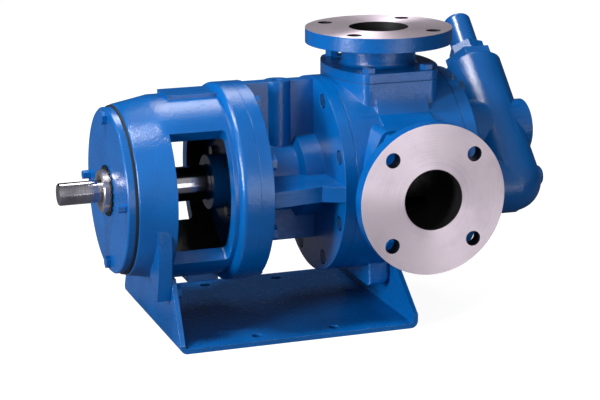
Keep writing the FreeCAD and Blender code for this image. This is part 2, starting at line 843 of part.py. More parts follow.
for side, sign in (("near", "-"), ("far", "")):
    window = padded(
        "window_" + side,
        "YZ_Plane",
        [
            ("0", "0"),
            (sign + "sizes.ring_diameter", "-sizes.ring_diameter * tan(sizes.window_lower_angle * 1 deg)"),
            (sign + "sizes.ring_diameter", "sizes.ring_diameter * tan(sizes.window_upper_angle * 1 deg)"),
        ],
        "stations.window_front",
        "stations.window_back",
    )

    def is_window_corner(edge):
        """True for the wedge's sloping edges at the ring's end."""
        box = edge.BoundBox
        at_ring = box.XLength < NEAR and abs(box.XMin - number("stations.window_back")) < NEAR
        return at_ring and box.YLength > NEAR

    round_edges(window, "window_corners_" + side, "sizes.window_corner", is_window_corner)
    windows.append(window)
housing_holes = holes_along_x(
    "housing_ring_hole",
    ring_places,
    "sizes.ring_screw + 2 * sizes.screw_clearance",
    "stations.bracket_front - sizes.screw_reach - sizes.screw_end_gap",
    "stations.bracket_front + sizes.overrun",
)
housing_holes += holes_along_x(
    "housing_cover_hole",
    cover_places,
    "sizes.cover_screw + 2 * sizes.screw_clearance",
    "stations.housing_front - sizes.overrun",
    "stations.housing_front + sizes.screw_reach + sizes.screw_end_gap",
)
housing_holes += holes_along_x(
    "housing_leg_hole",
    leg_places,
    "sizes.foot_screw + 2 * sizes.screw_clearance",
    "stations.leg_front - sizes.overrun",
    "stations.base_front + sizes.lap",
)
housing_hollow = fuse("housing_hollow", housing_cavity, bearing_seat, *windows)
keep(cut("housing_cast", housing_solid, housing_hollow, *housing_holes), "bearing_housing")

leg_screw_reach = "sizes.leg_thickness + sizes.base_plate"
keep(
    screws_along_x(
        "leg_screw",
        leg_places,
        "sizes.foot_screw",
        "sizes.foot_screw_head",
        "stations.base_front + sizes.base_plate",
        leg_screw_reach,
        -1,
    ),
    "base_leg_screws",
)
keep(
    screws_along_x(
        "foot_screw",
        foot_places,
        "sizes.foot_screw",
        "sizes.foot_screw_head",
        "stations.base_back",
        "sizes.base_plate + sizes.screw_reach",
        -1,
    ),
    "base_foot_screws",
)

# Bearing cover with its gasket, oil seal, two hexagon screws and two taller locking screws.
cover = turned(
    "cover",
    [
        ("stations.cover_front", "sizes.cover_opening / 2"),
        ("stations.cover_front", "sizes.cover_diameter / 2 - sizes.cover_edge"),
        ("stations.cover_front + sizes.cover_edge", "sizes.cover_diameter / 2"),
        ("stations.cover_back", "sizes.cover_diameter / 2"),
        ("stations.cover_back", "sizes.bearing_outside / 2 - sizes.running_fit"),
        ("stations.bearing_front", "sizes.bearing_outside / 2 - sizes.running_fit"),
        ("stations.bearing_front", "sizes.cover_seal_diameter / 2 + sizes.seat_fit"),
        ("stations.cover_seal_front", "sizes.cover_seal_diameter / 2 + sizes.seat_fit"),
        ("stations.cover_seal_front", "sizes.cover_opening / 2"),
    ],
)
cover_holes = holes_along_x(
    "cover_hole",
    cover_places,
    "sizes.cover_screw + 2 * sizes.screw_clearance",
    "stations.cover_front - sizes.overrun",
    "stations.cover_back + sizes.overrun",
)
cover_holes += holes_along_x(
    "cover_lock_hole",
    lock_places,
    "sizes.lock_screw + 2 * sizes.screw_clearance",
    "stations.cover_front - sizes.overrun",
    "stations.cover_back + sizes.overrun",
)
keep(cut("cover_drilled", cover, *cover_holes), "bearing_cover")
cover_gasket = turned(
    "cover_gasket_ring",
    [
        ("stations.cover_back", "sizes.bearing_outside / 2 + sizes.gasket_margin"),
        ("stations.cover_back", "sizes.cover_gasket_diameter / 2"),
        ("stations.housing_front", "sizes.cover_gasket_diameter / 2"),
        ("stations.housing_front", "sizes.bearing_outside / 2 + sizes.gasket_margin"),
    ],
)
gasket_holes = holes_along_x(
    "cover_gasket_hole",
    cover_places,
    "sizes.cover_screw + 2 * sizes.screw_clearance",
    "stations.cover_back - sizes.overrun",
    "stations.housing_front + sizes.overrun",
)
keep(cut("cover_gasket_punched", cover_gasket, *gasket_holes), "cover_gasket")
keep(
    screws_along_x(
        "cover_screw",
        cover_places,
        "sizes.cover_screw",
        "sizes.cover_screw_head",
        "stations.cover_front",
        "sizes.cover_thickness + sizes.cover_gasket_thickness + sizes.screw_reach",
        1,
    ),
    "cover_screws",
)
keep(
    screws_along_x(
        "lock_screw",
        lock_places,
        "sizes.lock_screw",
        "sizes.lock_screw_head",
        "stations.cover_front",
        "sizes.cover_thickness",
        1,
        "sizes.lock_screw_height",
    ),
    "cover_lock_screws",
)
keep(
    turned(
        "cover_seal_ring",
        [
            ("stations.cover_seal_front", "sizes.collar_diameter / 2 + sizes.seal_lip_clearance"),
            ("stations.cover_seal_front", "sizes.cover_seal_diameter / 2"),
            ("stations.cover_seal_front + sizes.cover_seal_width", "sizes.cover_seal_diameter / 2"),
            (
                "stations.cover_seal_front + sizes.cover_seal_width",
                "sizes.collar_diameter / 2 + sizes.seal_lip_depth",
            ),
            (
                "stations.cover_seal_front + sizes.cover_seal_width / 2",
                "sizes.collar_diameter / 2 + sizes.seal_lip_depth",
            ),
            (
                "stations.cover_seal_front + sizes.cover_seal_width / 2",
                "sizes.collar_diameter / 2 + sizes.seal_lip_clearance",
            ),
        ],
    ),
    "cover_seal",
)

# Ball bearing: two races, nine balls and their cage.
groove_radius = "sizes.ball_diameter / 2 + sizes.race_groove_slack"


def ball_groove(name):
    """The round track that the balls run in."""
    track = doc.addObject("Part::Torus", name)
    bind(track, Radius1="stations.ball_circle", Radius2=groove_radius)
    return place(track, x="stations.bearing_middle", turn=ALONG_X)


for label, inner, outer in (
    (
        "bearing_outer_race",
        "sizes.bearing_outside / 2 - sizes.race_thickness",
        "sizes.bearing_outside / 2",
    ),
    (
        "bearing_inner_race",
        "sizes.bearing_bore / 2 + sizes.seat_fit",
        "sizes.bearing_bore / 2 + sizes.race_thickness",
    ),
):
    race = turned(
        label + "_ring",
        [
            ("stations.bearing_front", inner),
            ("stations.bearing_front", outer),
            ("stations.bearing_back", outer),
            ("stations.bearing_back", inner),
        ],
    )
    keep(cut(label + "_grooved", race, ball_groove(label + "_groove")), label)
ball_places = circle_places("sizes.ball_count", "2 * stations.ball_circle", 0)
balls = []
pockets = []
for index, (y, z) in enumerate(ball_places):
    sphere = doc.addObject("Part::Sphere", "ball_%d" % (index + 1))
    bind(sphere, Radius="sizes.ball_diameter / 2")
    balls.append(place(sphere, "stations.bearing_middle", y, z, ALONG_X))
    pocket_bar = cylinder(
        "ball_pocket_%d" % (index + 1),
        groove_radius,
        "stations.ball_circle + 2 * sizes.overrun",
        "stations.bearing_middle",
    )
    aimed = group("ball_pocket_aimed_%d" % (index + 1), [pocket_bar])
    angle = 360.0 * index / len(ball_places)
    aimed.Placement = Placement(Vector(), Rotation(Vector(1, 0, 0), angle - 90))
    pockets.append(aimed)
keep(group("balls", balls), "bearing_balls")
cage_ends = (
    "stations.bearing_middle - sizes.cage_width / 2",
    "stations.bearing_middle + sizes.cage_width / 2",
)
cage_inner = "stations.ball_circle - sizes.cage_thickness / 2"
cage_outer = "stations.ball_circle + sizes.cage_thickness / 2"
cage = turned(
    "cage_ring",
    [
        (cage_ends[0], cage_inner),
        (cage_ends[0], cage_outer),
        (cage_ends[1], cage_outer),
        (cage_ends[1], cage_inner),
    ],
)
keep(cut("cage_pierced", cage, *pockets), "bearing_cage")
keep(
    turned(
        "housing_seal_ring",
        [
            ("stations.housing_seal_front", "sizes.shaft_diameter / 2 + sizes.seal_lip_depth"),
            ("stations.housing_seal_front", "sizes.housing_seal_diameter / 2"),
            (
                "stations.housing_seal_front + sizes.housing_seal_width",
                "sizes.housing_seal_diameter / 2",
            ),
            (
                "stations.housing_seal_front + sizes.housing_seal_width",
                "sizes.shaft_diameter / 2 + sizes.seal_lip_clearance",
            ),
            (
                "stations.housing_seal_front + sizes.housing_seal_width / 2",
                "sizes.shaft_diameter / 2 + sizes.seal_lip_clearance",
            ),
            (
                "stations.housing_seal_front + sizes.housing_seal_width / 2",
                "sizes.shaft_diameter / 2 + sizes.seal_lip_depth",
            ),
        ],
    ),
    "housing_seal",
)

# Shaft with an empty keyway at the coupling end, and the nut, washer and collar on it.
shaft = turned(
    "shaft",
    [
        ("stations.shaft_end", "0"),
        ("stations.shaft_end", "sizes.shaft_end_diameter / 2 - sizes.shaft_chamfer"),
        ("stations.shaft_end + sizes.shaft_chamfer", "sizes.shaft_end_diameter / 2"),
        ("stations.nut_front", "sizes.shaft_end_diameter / 2"),
        ("stations.nut_front", "sizes.bearing_bore / 2"),
        ("stations.bearing_back", "sizes.bearing_bore / 2"),
        ("stations.bearing_back", "sizes.shaft_diameter / 2"),
        ("stations.rotor_front", "sizes.shaft_diameter / 2"),
        ("stations.rotor_front", "sizes.rotor_seat_diameter / 2"),
        ("stations.rotor_face", "sizes.rotor_seat_diameter / 2"),
        ("stations.rotor_face", "0"),
    ],
)
keyway = block(
    "shaft_keyway",
    ("stations.shaft_end - sizes.overrun", "stations.shaft_end + sizes.keyway_length"),
    ("-sizes.keyway_width / 2", "sizes.keyway_width / 2"),
    ("sizes.shaft_end_diameter / 2 - sizes.keyway_depth", "sizes.shaft_end_diameter / 2 + sizes.overrun"),
)
turned_keyway = group("shaft_keyway_turned", [keyway])
turned_keyway.Placement = Placement(Vector(), Rotation(Vector(1, 0, 0), 90 - number("sizes.keyway_turn")))
rotor_key_slot = block(
    "shaft_rotor_key_slot",
    ("stations.rotor_front", "stations.rotor_face + sizes.overrun"),
    ("-sizes.rotor_key_width / 2 - sizes.seat_fit", "sizes.rotor_key_width / 2 + sizes.seat_fit"),
    (
        "sizes.rotor_seat_diameter / 2 - sizes.rotor_key_height / 2 - sizes.seat_fit",
        "sizes.rotor_seat_diameter / 2 + sizes.overrun",
    ),
)
keep(cut("shaft_milled", shaft, turned_keyway, rotor_key_slot), "drive_shaft")
keep(
    block(
        "rotor_key_bar",
        ("stations.rotor_front + sizes.rotor_key_gap", "stations.rotor_face - sizes.rotor_key_gap"),
        ("-sizes.rotor_key_width / 2", "sizes.rotor_key_width / 2"),
        (
            "sizes.rotor_seat_diameter / 2 - sizes.rotor_key_height / 2 + sizes.shaft_height",
            "sizes.rotor_seat_diameter / 2 + sizes.rotor_key_height / 2 + sizes.shaft_height",
        ),
    ),
    "rotor_key",
    "floor",
)
keep(
    turned(
        "collar",
        [
            ("stations.washer_back", "sizes.bearing_bore / 2 + sizes.seat_fit"),
            ("stations.washer_back", "sizes.collar_diameter / 2"),
            ("stations.bearing_front - sizes.collar_taper", "sizes.collar_diameter / 2"),
            ("stations.bearing_front", "sizes.bearing_bore / 2 + sizes.race_thickness - sizes.collar_step"),
            ("stations.bearing_front", "sizes.bearing_bore / 2 + sizes.seat_fit"),
        ],
    ),
    "spacer_collar",
)
nut = turned(
    "nut_blank",
    [
        ("stations.nut_front", "sizes.bearing_bore / 2 + sizes.seat_fit"),
        ("stations.nut_front", "sizes.nut_diameter / 2 - sizes.nut_chamfer"),
        ("stations.nut_front + sizes.nut_chamfer", "sizes.nut_diameter / 2"),
        ("stations.washer_front", "sizes.nut_diameter / 2"),
        ("stations.washer_front", "sizes.bearing_bore / 2 + sizes.seat_fit"),
    ],
)
washer = turned(
    "washer_blank",
    [
        ("stations.washer_front", "sizes.bearing_bore / 2 + sizes.seat_fit"),
        ("stations.washer_front", "sizes.washer_diameter / 2"),
        ("stations.washer_back", "sizes.washer_diameter / 2"),
        ("stations.washer_back", "sizes.bearing_bore / 2 + sizes.seat_fit"),
    ],
)


def notches(name, count, width, diameter, depth, ends):
    """Square notches round the rim of a disc on the shaft."""
    made = []
    for index in range(int(number(count))):
        notch = block(
            "%s_%d" % (name, index + 1),
            ends,
            ("-(%s) / 2" % width, "(%s) / 2" % width),
            ("(%s) / 2 - (%s)" % (diameter, depth), "(%s) / 2 + sizes.overrun" % diameter),
        )
        turned_notch = group("%s_turned_%d" % (name, index + 1), [notch])
        angle = 360.0 * index / int(number(count))
        turned_notch.Placement = Placement(Vector(), Rotation(Vector(1, 0, 0), angle))
        made.append(turned_notch)
    return made


nut_notches = notches(
    "nut_notch",
    "sizes.nut_slots",
    "sizes.nut_slot_width",
    "sizes.nut_diameter",
    "sizes.nut_slot_depth",
    ("stations.nut_front - sizes.overrun", "stations.washer_front + sizes.overrun"),
)
keep(cut("nut_slotted", nut, *nut_notches), "lock_nut")
washer_notches = notches(
    "washer_notch",
    "sizes.washer_teeth",
    "sizes.washer_notch_width",
    "sizes.washer_diameter",
    "sizes.washer_tooth_depth",
    ("stations.washer_front - sizes.overrun", "stations.washer_back + sizes.overrun"),
)
keep(cut("washer_toothed", washer, *washer_notches), "lock_washer")

# Seal bracket: ring and flange joined by the seal hub and four webs.
bracket_core = turned(
    "bracket_core",
    [
        ("stations.bracket_front - sizes.front_spigot", "0"),
        ("stations.bracket_front - sizes.front_spigot", "stations.ring_bore - sizes.running_fit"),
        ("stations.bracket_front", "stations.ring_bore - sizes.running_fit"),
        ("stations.bracket_front", "sizes.ring_diameter / 2"),
        ("stations.bracket_front + sizes.bracket_ring", "sizes.ring_diameter / 2"),
        ("stations.bracket_front + sizes.bracket_ring", "sizes.seal_hub_front_diameter / 2"),
        ("stations.bracket_front + sizes.seal_hub_step", "sizes.seal_hub_front_diameter / 2"),
        (
            "stations.bracket_front + sizes.seal_hub_step + sizes.seal_hub_taper",
            "sizes.seal_hub_diameter / 2",
        ),
        ("stations.bracket_back - sizes.bracket_flange", "sizes.seal_hub_diameter / 2"),
        ("stations.bracket_back - sizes.bracket_flange", "sizes.ring_diameter / 2"),
        ("stations.bracket_back", "sizes.ring_diameter / 2"),
        ("stations.bracket_back", "sizes.chamber_bore / 2 - sizes.running_fit"),
        ("stations.spigot_back", "sizes.chamber_bore / 2 - sizes.running_fit"),
        ("stations.spigot_back", "0"),
    ],
)
web_ends = ("stations.bracket_front + sizes.lap", "stations.bracket_back - sizes.lap")
side_web_outline = []
for sign, order in (("-", 1), ("", -1)):
    edge = [
        ("stations.bracket_front + sizes.lap", sign + "(sizes.ring_diameter / 2 - sizes.lap)"),
        (
            "stations.bracket_back - sizes.bracket_flange - sizes.side_web_flare",
            sign + "sizes.side_web_waist",
        ),
        ("stations.bracket_back - sizes.bracket_flange", sign + "(sizes.ring_diameter / 2 - sizes.lap)"),
        ("stations.bracket_back - sizes.lap", sign + "(sizes.ring_diameter / 2 - sizes.lap)"),
    ]
    side_web_outline += edge[::order]
side_webs = padded(
    "bracket_side_webs",
    "XY_Plane",
    side_web_outline,
    "-sizes.side_web_thickness / 2",
    "sizes.side_web_thickness / 2",
)
upright_web = block(
    "bracket_upright_web",
    web_ends,
    ("-sizes.web_thickness / 2", "sizes.web_thickness / 2"),
    ("-sizes.bottom_web_depth", "sizes.ring_diameter / 2 - sizes.lap"),
)
seal_port_station = "(stations.lantern_front + stations.lantern_back) / 2"
seal_boss = cylinder(
    "bracket_seal_boss",
    "sizes.seal_port_boss / 2",
    "sizes.ring_diameter / 2 - sizes.lap",
    seal_port_station,
)
bracket_solid = fuse("bracket_solid", bracket_core, side_webs, upright_web, seal_boss)
bracket_bore = turned(
    "bracket_bore",
    [
        ("stations.bracket_front - sizes.front_spigot - sizes.overrun", "0"),
        ("stations.bracket_front - sizes.front_spigot - sizes.overrun", "sizes.chamber_diameter / 2"),
        ("stations.chamber_end", "sizes.chamber_diameter / 2"),
        ("stations.chamber_end", "sizes.shaft_diameter / 2 + sizes.shaft_clearance"),
        ("stations.bushing_front", "sizes.shaft_diameter / 2 + sizes.shaft_clearance"),
        ("stations.bushing_front", "sizes.bushing_diameter / 2 + sizes.seat_fit"),
        ("stations.spigot_back + sizes.overrun", "sizes.bushing_diameter / 2 + sizes.seat_fit"),
        ("stations.spigot_back + sizes.overrun", "0"),
    ],
)
seal_port_hole = cylinder(
    "bracket_seal_port_hole",
    "sizes.seal_port_bore / 2 + sizes.screw_clearance",
    "sizes.ring_diameter",
    seal_port_station,
)
screw_hole = "sizes.head_screw + 2 * sizes.screw_clearance"
bracket_holes = holes_along_x(
    "bracket_ring_hole",
    ring_places,
    "sizes.ring_screw + 2 * sizes.screw_clearance",
    "stations.bracket_front - sizes.overrun",
    "stations.bracket_front + sizes.bracket_ring + sizes.overrun",
)
bracket_holes += holes_along_x(
    "bracket_flange_hole",
    head_places,
    screw_hole,
    "stations.bracket_back - sizes.bracket_flange - sizes.overrun",
    "stations.bracket_back + sizes.overrun",
)
bracket_holes += holes_along_x(
    "bracket_recess",
    head_places,
    "sizes.screw_recess_diameter",
    "stations.bracket_back - sizes.bracket_flange - sizes.overrun",
    "stations.bracket_back - sizes.bracket_flange + sizes.screw_recess",
)
bracket_holes += holes_along_x(
    "bracket_gland_hole",
    gland_places,
    "sizes.gland_screw + 2 * sizes.screw_clearance",
    "stations.bracket_front - sizes.front_spigot - sizes.overrun",
    "stations.bracket_front - sizes.gland_gap + sizes.screw_reach + sizes.screw_end_gap",
)
keep(cut("bracket_cast", bracket_solid, bracket_bore, seal_port_hole, *bracket_holes), "seal_bracket")
keep(
    screws_along_x(
        "ring_screw",
        ring_places,
        "sizes.ring_screw",
        "sizes.ring_screw_head",
        "stations.bracket_front + sizes.bracket_ring",
        "sizes.bracket_ring + sizes.screw_reach",
        -1,
    ),
    "ring_screws",
)
keep(
    screws_along_x(
        "bracket_screw",
        head_places,
        "sizes.head_screw",
        "sizes.head_screw_head",
        "stations.bracket_back - sizes.bracket_flange + sizes.screw_recess",
        "sizes.bracket_flange - sizes.screw_recess + sizes.joint_gasket + sizes.screw_reach",
        1,
    ),
    "bracket_screws",
)
keep(
    cylinder(
        "seal_port_plug",
        "sizes.seal_port_bore / 2",
        "sizes.screw_reach",
        seal_port_station,
        "0",
        "sizes.ring_diameter / 2 - sizes.screw_reach - sizes.seal_port_recess + sizes.shaft_height",
    ),
    "seal_port_plug",
    "floor",
)

# Packed seal: gland, packing rings, lantern ring and the bushing behind them.
gland = turned(
    "gland_turned",
    [
        ("stations.gland_front", "sizes.shaft_diameter / 2 + sizes.gland_clearance"),
        ("stations.gland_front", "sizes.gland_diameter / 2"),
        ("stations.gland_flange_front", "sizes.gland_diameter / 2"),
        ("stations.gland_flange_front", "sizes.gland_flange_diameter / 2"),
        ("stations.gland_flange_back", "sizes.gland_flange_diameter / 2"),
        ("stations.gland_flange_back", "sizes.chamber_diameter / 2 - sizes.running_fit"),
        ("stations.gland_nose_end", "sizes.chamber_diameter / 2 - sizes.running_fit"),
        ("stations.gland_nose_end", "sizes.shaft_diameter / 2 + sizes.gland_clearance"),
    ],
)
gland_holes = holes_along_x(
    "gland_hole",
    gland_places,
    "sizes.gland_screw + 2 * sizes.screw_clearance",
    "stations.gland_flange_front - sizes.overrun",
    "stations.gland_flange_back + sizes.overrun",
)
keep(cut("gland_drilled", gland, *gland_holes), "packing_gland")
keep(
    screws_along_x(
        "gland_screw",
        gland_places,
        "sizes.gland_screw",
        "sizes.gland_screw_head",
        "stations.gland_flange_front",
        "sizes.gland_flange + sizes.screw_reach",
        1,
    ),
    "gland_screws",
)
packing = []
for start, count in (
    ("stations.gland_nose_end", "sizes.packing_before"),
    ("stations.lantern_back", "sizes.packing_after"),
):
    for index in range(int(number(count))):
        front = "%s + %d * sizes.packing_section" % (start, index)
        back = front + " + sizes.packing_section - sizes.packing_gap"
        packing.append(
            turned(
                "packing_%d" % (len(packing) + 1),
                [
                    (front, "sizes.shaft_diameter / 2 + sizes.running_fit"),
                    (front, "sizes.chamber_diameter / 2 - sizes.running_fit"),
                    (back, "sizes.chamber_diameter / 2 - sizes.running_fit"),
                    (back, "sizes.shaft_diameter / 2 + sizes.running_fit"),
                ],
            )
        )
keep(group("packing_set", packing), "packing_rings")
lantern_waist = "sizes.lantern_length / 4"
lantern = turned(
    "lantern_turned",
    [
        ("stations.lantern_front", "sizes.shaft_diameter / 2 + sizes.running_fit"),
        ("stations.lantern_front", "sizes.chamber_diameter / 2 - sizes.running_fit"),
        ("stations.lantern_front + " + lantern_waist, "sizes.chamber_diameter / 2 - sizes.running_fit"),
        ("stations.lantern_front + " + lantern_waist, "sizes.chamber_diameter / 2 - sizes.lantern_groove"),
        ("stations.lantern_back - " + lantern_waist, "sizes.chamber_diameter / 2 - sizes.lantern_groove"),
        ("stations.lantern_back - " + lantern_waist, "sizes.chamber_diameter / 2 - sizes.running_fit"),
        ("stations.lantern_back - sizes.packing_gap", "sizes.chamber_diameter / 2 - sizes.running_fit"),
        ("stations.lantern_back - sizes.packing_gap", "sizes.shaft_diameter / 2 + sizes.running_fit"),
    ],
)
keep(lantern, "lantern_ring")
keep(
    turned(
        "bushing",
        [
            ("stations.bushing_front", "sizes.shaft_diameter / 2 + sizes.running_fit"),
            ("stations.bushing_front", "sizes.bushing_diameter / 2"),
            ("stations.spigot_back", "sizes.bushing_diameter / 2"),
            ("stations.spigot_back", "sizes.shaft_diameter / 2 + sizes.running_fit"),
        ],
    ),
    "shaft_bushing",
)


def joint_gasket(name, front, places):
    """A thin gasket between two casing joints, with its screw holes."""
    back = front + " + sizes.joint_gasket"
    ring = turned(
        name + "_ring",
        [
            (front, "sizes.chamber_bore / 2 + sizes.gasket_margin"),
            (front, "sizes.ring_diameter / 2 - sizes.gasket_inset"),
            (back, "sizes.ring_diameter / 2 - sizes.gasket_inset"),
            (back, "sizes.chamber_bore / 2 + sizes.gasket_margin"),
        ],
    )
    ends = (front + " - sizes.overrun", back + " + sizes.overrun")
    return cut(name + "_punched", ring, *holes_along_x(name + "_hole", places, screw_hole, *ends))


keep(joint_gasket("bracket_joint", "stations.bracket_back", head_places), "bracket_gasket")
keep(joint_gasket("head_joint", "stations.casing_back", rear_places), "head_gasket")

# Port adapters: a bolted plate, a neck and a flat-faced flange with four holes.
def bowed_plate(name, start, end):
    """A body with two straight and two bowed sides, padded from one level to another."""
    body = doc.addObject("PartDesign::Body", name)
    drawing = sketch(body, name + "_outline", "XY_Plane", start)
    long_half = number("sizes.pad_front_half")
    bowed_half = number("sizes.pad_half_length")
    wide_half = number("sizes.pad_half_depth")
    corners = [Vector(x, y, 0) for x, y in ((1, -1), (1, 1), (-1, 1), (-1, -1))]
    corners = [Vector(corner.x * long_half, corner.y * wide_half, 0) for corner in corners]
    drawing.addGeometry(Part.Arc(corners[0], Vector(bowed_half, 0, 0), corners[1]))
    drawing.addGeometry(Part.LineSegment(corners[1], corners[2]))
    drawing.addGeometry(Part.Arc(corners[2], Vector(-bowed_half, 0, 0), corners[3]))
    drawing.addGeometry(Part.LineSegment(corners[3], corners[0]))
    for index in range(4):
        drawing.addConstraint(Sketcher.Constraint("Coincident", index, 2, (index + 1) % 4, 1))
    for index, corner in enumerate(corners):
        for kind, value, size in (
            ("DistanceX", corner.x, "sizes.pad_front_half"),
            ("DistanceY", corner.y, "sizes.pad_half_depth"),
        ):
            row = drawing.addConstraint(Sketcher.Constraint(kind, -1, 1, index, 1, value))
            drawing.setExpression("Constraints[%d]" % row, ("-" if value < 0 else "") + size)
    bow = "(sizes.pad_half_length - sizes.pad_front_half)"
    radius = "(pow(sizes.pad_half_depth; 2) + pow(%s; 2)) / (2 * %s)" % (bow, bow)
    for index in (0, 2):
        row = drawing.addConstraint(Sketcher.Constraint("Radius", index, number(radius)))
        drawing.setExpression("Constraints[%d]" % row, radius)
    pad = body.newObject("PartDesign::Pad", name + "_pad")
    pad.Profile = drawing
    bind(pad, Length="(%s) - (%s)" % (end, start))
    return body


def is_upright(edge):
    """True for the straight edges along a pad's or plate's own axis."""
    box = edge.BoundBox
    return box.XLength < NEAR and box.YLength < NEAR and box.ZLength > NEAR


def is_neck_end(edge):
    """True for the circles where an adapter's neck meets its plate and its flange."""
    box = edge.BoundBox
    as_wide = abs(box.XLength - number("sizes.adapter_neck")) < NEAR
    return as_wide and box.ZLength < NEAR and box.ZMin > number(adapter_foot) + NEAR


adapter_foot = "sizes.pad_height + sizes.adapter_gasket"
adapter_hole = "sizes.adapter_screw / 2 + sizes.screw_clearance"


def port_adapter(name):
    """One adapter, standing on its own port's line with the shaft's line at height 0."""
    body = bowed_plate(name + "_body", adapter_foot, adapter_foot + " + sizes.adapter_plate")
    round_edges(body, name + "_plate_round", "sizes.pad_round", is_upright)
    top = "sizes.port_face"
    under = "sizes.port_face - sizes.port_flange_thickness"
    outline = draw(
        sketch(body, name + "_neck_outline", "XZ_Plane"),
        [
            ("sizes.port_bore / 2", adapter_foot),
            ("sizes.adapter_neck / 2", adapter_foot),
            ("sizes.adapter_neck / 2", under),
            ("sizes.port_flange_diameter / 2", under),
            ("sizes.port_flange_diameter / 2", top),
            ("sizes.port_bore / 2", top),
        ],
    )
    turning = body.newObject("PartDesign::Revolution", name + "_neck")
    turning.Profile = outline
    turning.ReferenceAxis = (outline, ["V_Axis"])
    turning.Angle = 360
    round_edges(body, name + "_neck_rounds", "sizes.adapter_neck_round", is_neck_end)
    bore = draw_circle(sketch(body, name + "_bore_outline", "XY_Plane"), "0", "0", "sizes.port_bore / 2")
    pocket(body, bore, name + "_bore", True)
    hole = draw_circle(
        sketch(body, name + "_hole_outline", "XY_Plane"),
        "sizes.port_hole_circle / 2 * cos(45 deg)",
        "sizes.port_hole_circle / 2 * sin(45 deg)",
        "sizes.port_hole / 2",
    )
    first_hole = body.newObject("PartDesign::Pocket", name + "_hole")
    first_hole.Profile = hole
    first_hole.Reversed = True
    bind(first_hole, Length="sizes.port_face + sizes.lap")
    ring = body.newObject("PartDesign::PolarPattern", name + "_holes")
    ring.Originals = [first_hole]
    ring.Axis = (hole, ["N_Axis"])
    ring.Angle = 360
    ring.Occurrences = 4
    body.Tip = ring
    tools = [
        cylinder(
            "%s_plate_hole_%d" % (name, index + 1),
            adapter_hole,
            "sizes.adapter_plate + 2 * sizes.lap",
            x,
            y,
            adapter_foot + " - sizes.lap",
        )
        for index, (x, y) in enumerate(adapter_places)
    ]
    return cut(name + "_drilled", body, *tools)


def adapter_gasket(name):
    """The gasket under an adapter's plate."""
    body = bowed_plate(name + "_sheet", "sizes.pad_height", adapter_foot)
    round_edges(body, name + "_round", "sizes.pad_round", is_upright)
    length = "sizes.adapter_gasket + 2 * sizes.overrun"
    below = "sizes.pad_height - sizes.overrun"
    tools = [cylinder(name + "_bore", "sizes.port_bore / 2", length, z=below)]
    for index, (x, y) in enumerate(adapter_places):
        tools.append(cylinder("%s_hole_%d" % (name, index + 1), adapter_hole, length, x, y, below))
    return cut(name + "_punched", body, *tools)


def adapter_screws(name):
    """Four hexagon screws that hold an adapter's plate to the casing."""
    made = []
    seat = adapter_foot + " + sizes.adapter_plate"
    reach = "sizes.adapter_plate + sizes.adapter_gasket + sizes.screw_reach"
    for index, (x, y) in enumerate(adapter_places):
        tag = "%s_%d" % (name, index + 1)
        foot = "%s - (%s)" % (seat, reach)
        shank = cylinder(tag + "_shank", "sizes.adapter_screw / 2", reach, x, y, foot)
        head_height = "sizes.adapter_screw * sizes.head_height_ratio"
        head = hexagon(tag + "_head", "sizes.adapter_screw_head", head_height, x, y, seat)
        made.append(fuse(tag, shank, head))
    return group(name, made)


for side in ("top", "side"):
    home = side + " port"
    keep(port_adapter(side + "_adapter"), side + "_port_adapter", home)
    keep(adapter_gasket(side + "_gasket"), side + "_port_gasket", home)
    keep(adapter_screws(side + "_screw"), side + "_port_screws", home)

# Pump casing: a barrel with a pad for each adapter and a foot against the base's back upright.
barrel = bar_along_x(
    "casing_barrel",
    "sizes.ring_diameter / 2",
    "stations.casing_front",
    "stations.casing_back",
)
pads = []
for side, turn in (("top", None), ("side", ALONG_Y_BACK)):
    pad = bowed_plate("casing_%s_pad" % side, "0", "sizes.pad_height")
    round_edges(pad, "casing_%s_pad_round" % side, "sizes.pad_round", is_upright)
    pads.append(place(pad, x="stations.port", turn=turn))
    skirt_low = "sizes.skirt_top - sizes.skirt_depth"
    skirt_wide = "sizes.pad_half_depth + sizes.skirt_depth * sizes.skirt_slope"
    skirt = padded(
        "casing_%s_skirt" % side,
        "YZ_Plane",
        [
            ("-sizes.pad_half_depth", "sizes.skirt_top"),
            ("sizes.pad_half_depth", "sizes.skirt_top"),
            (skirt_wide, skirt_low),
            ("-(%s)" % skirt_wide, skirt_low),
        ],
        "sizes.pad_round - sizes.pad_front_half",
        "sizes.pad_front_half - sizes.pad_round",
    )
    pads.append(place(skirt, x="stations.port", turn=turn))
foot_bottom = "-sizes.foot_drop"
casing_foot = padded(
    "casing_foot",
    "XZ_Plane",
    [
        ("stations.foot_back - sizes.foot_length", "-sizes.chamber_bore / 2 - sizes.foot_root"),
        ("stations.foot_back - sizes.foot_length", foot_bottom),
        ("stations.foot_back - sizes.foot_corner", foot_bottom),
        ("stations.foot_back", foot_bottom + " + sizes.foot_corner"),
        ("stations.foot_back", "-sizes.chamber_bore / 2 - sizes.foot_root"),
    ],
    "-sizes.foot_half_width",
    "sizes.foot_half_width",
)


def is_foot_end(edge):
    """True for the lower edges at the foot's two ends."""
    box = edge.BoundBox
    return box.YLength < NEAR and box.ZMin < -number("sizes.ring_diameter") / 2


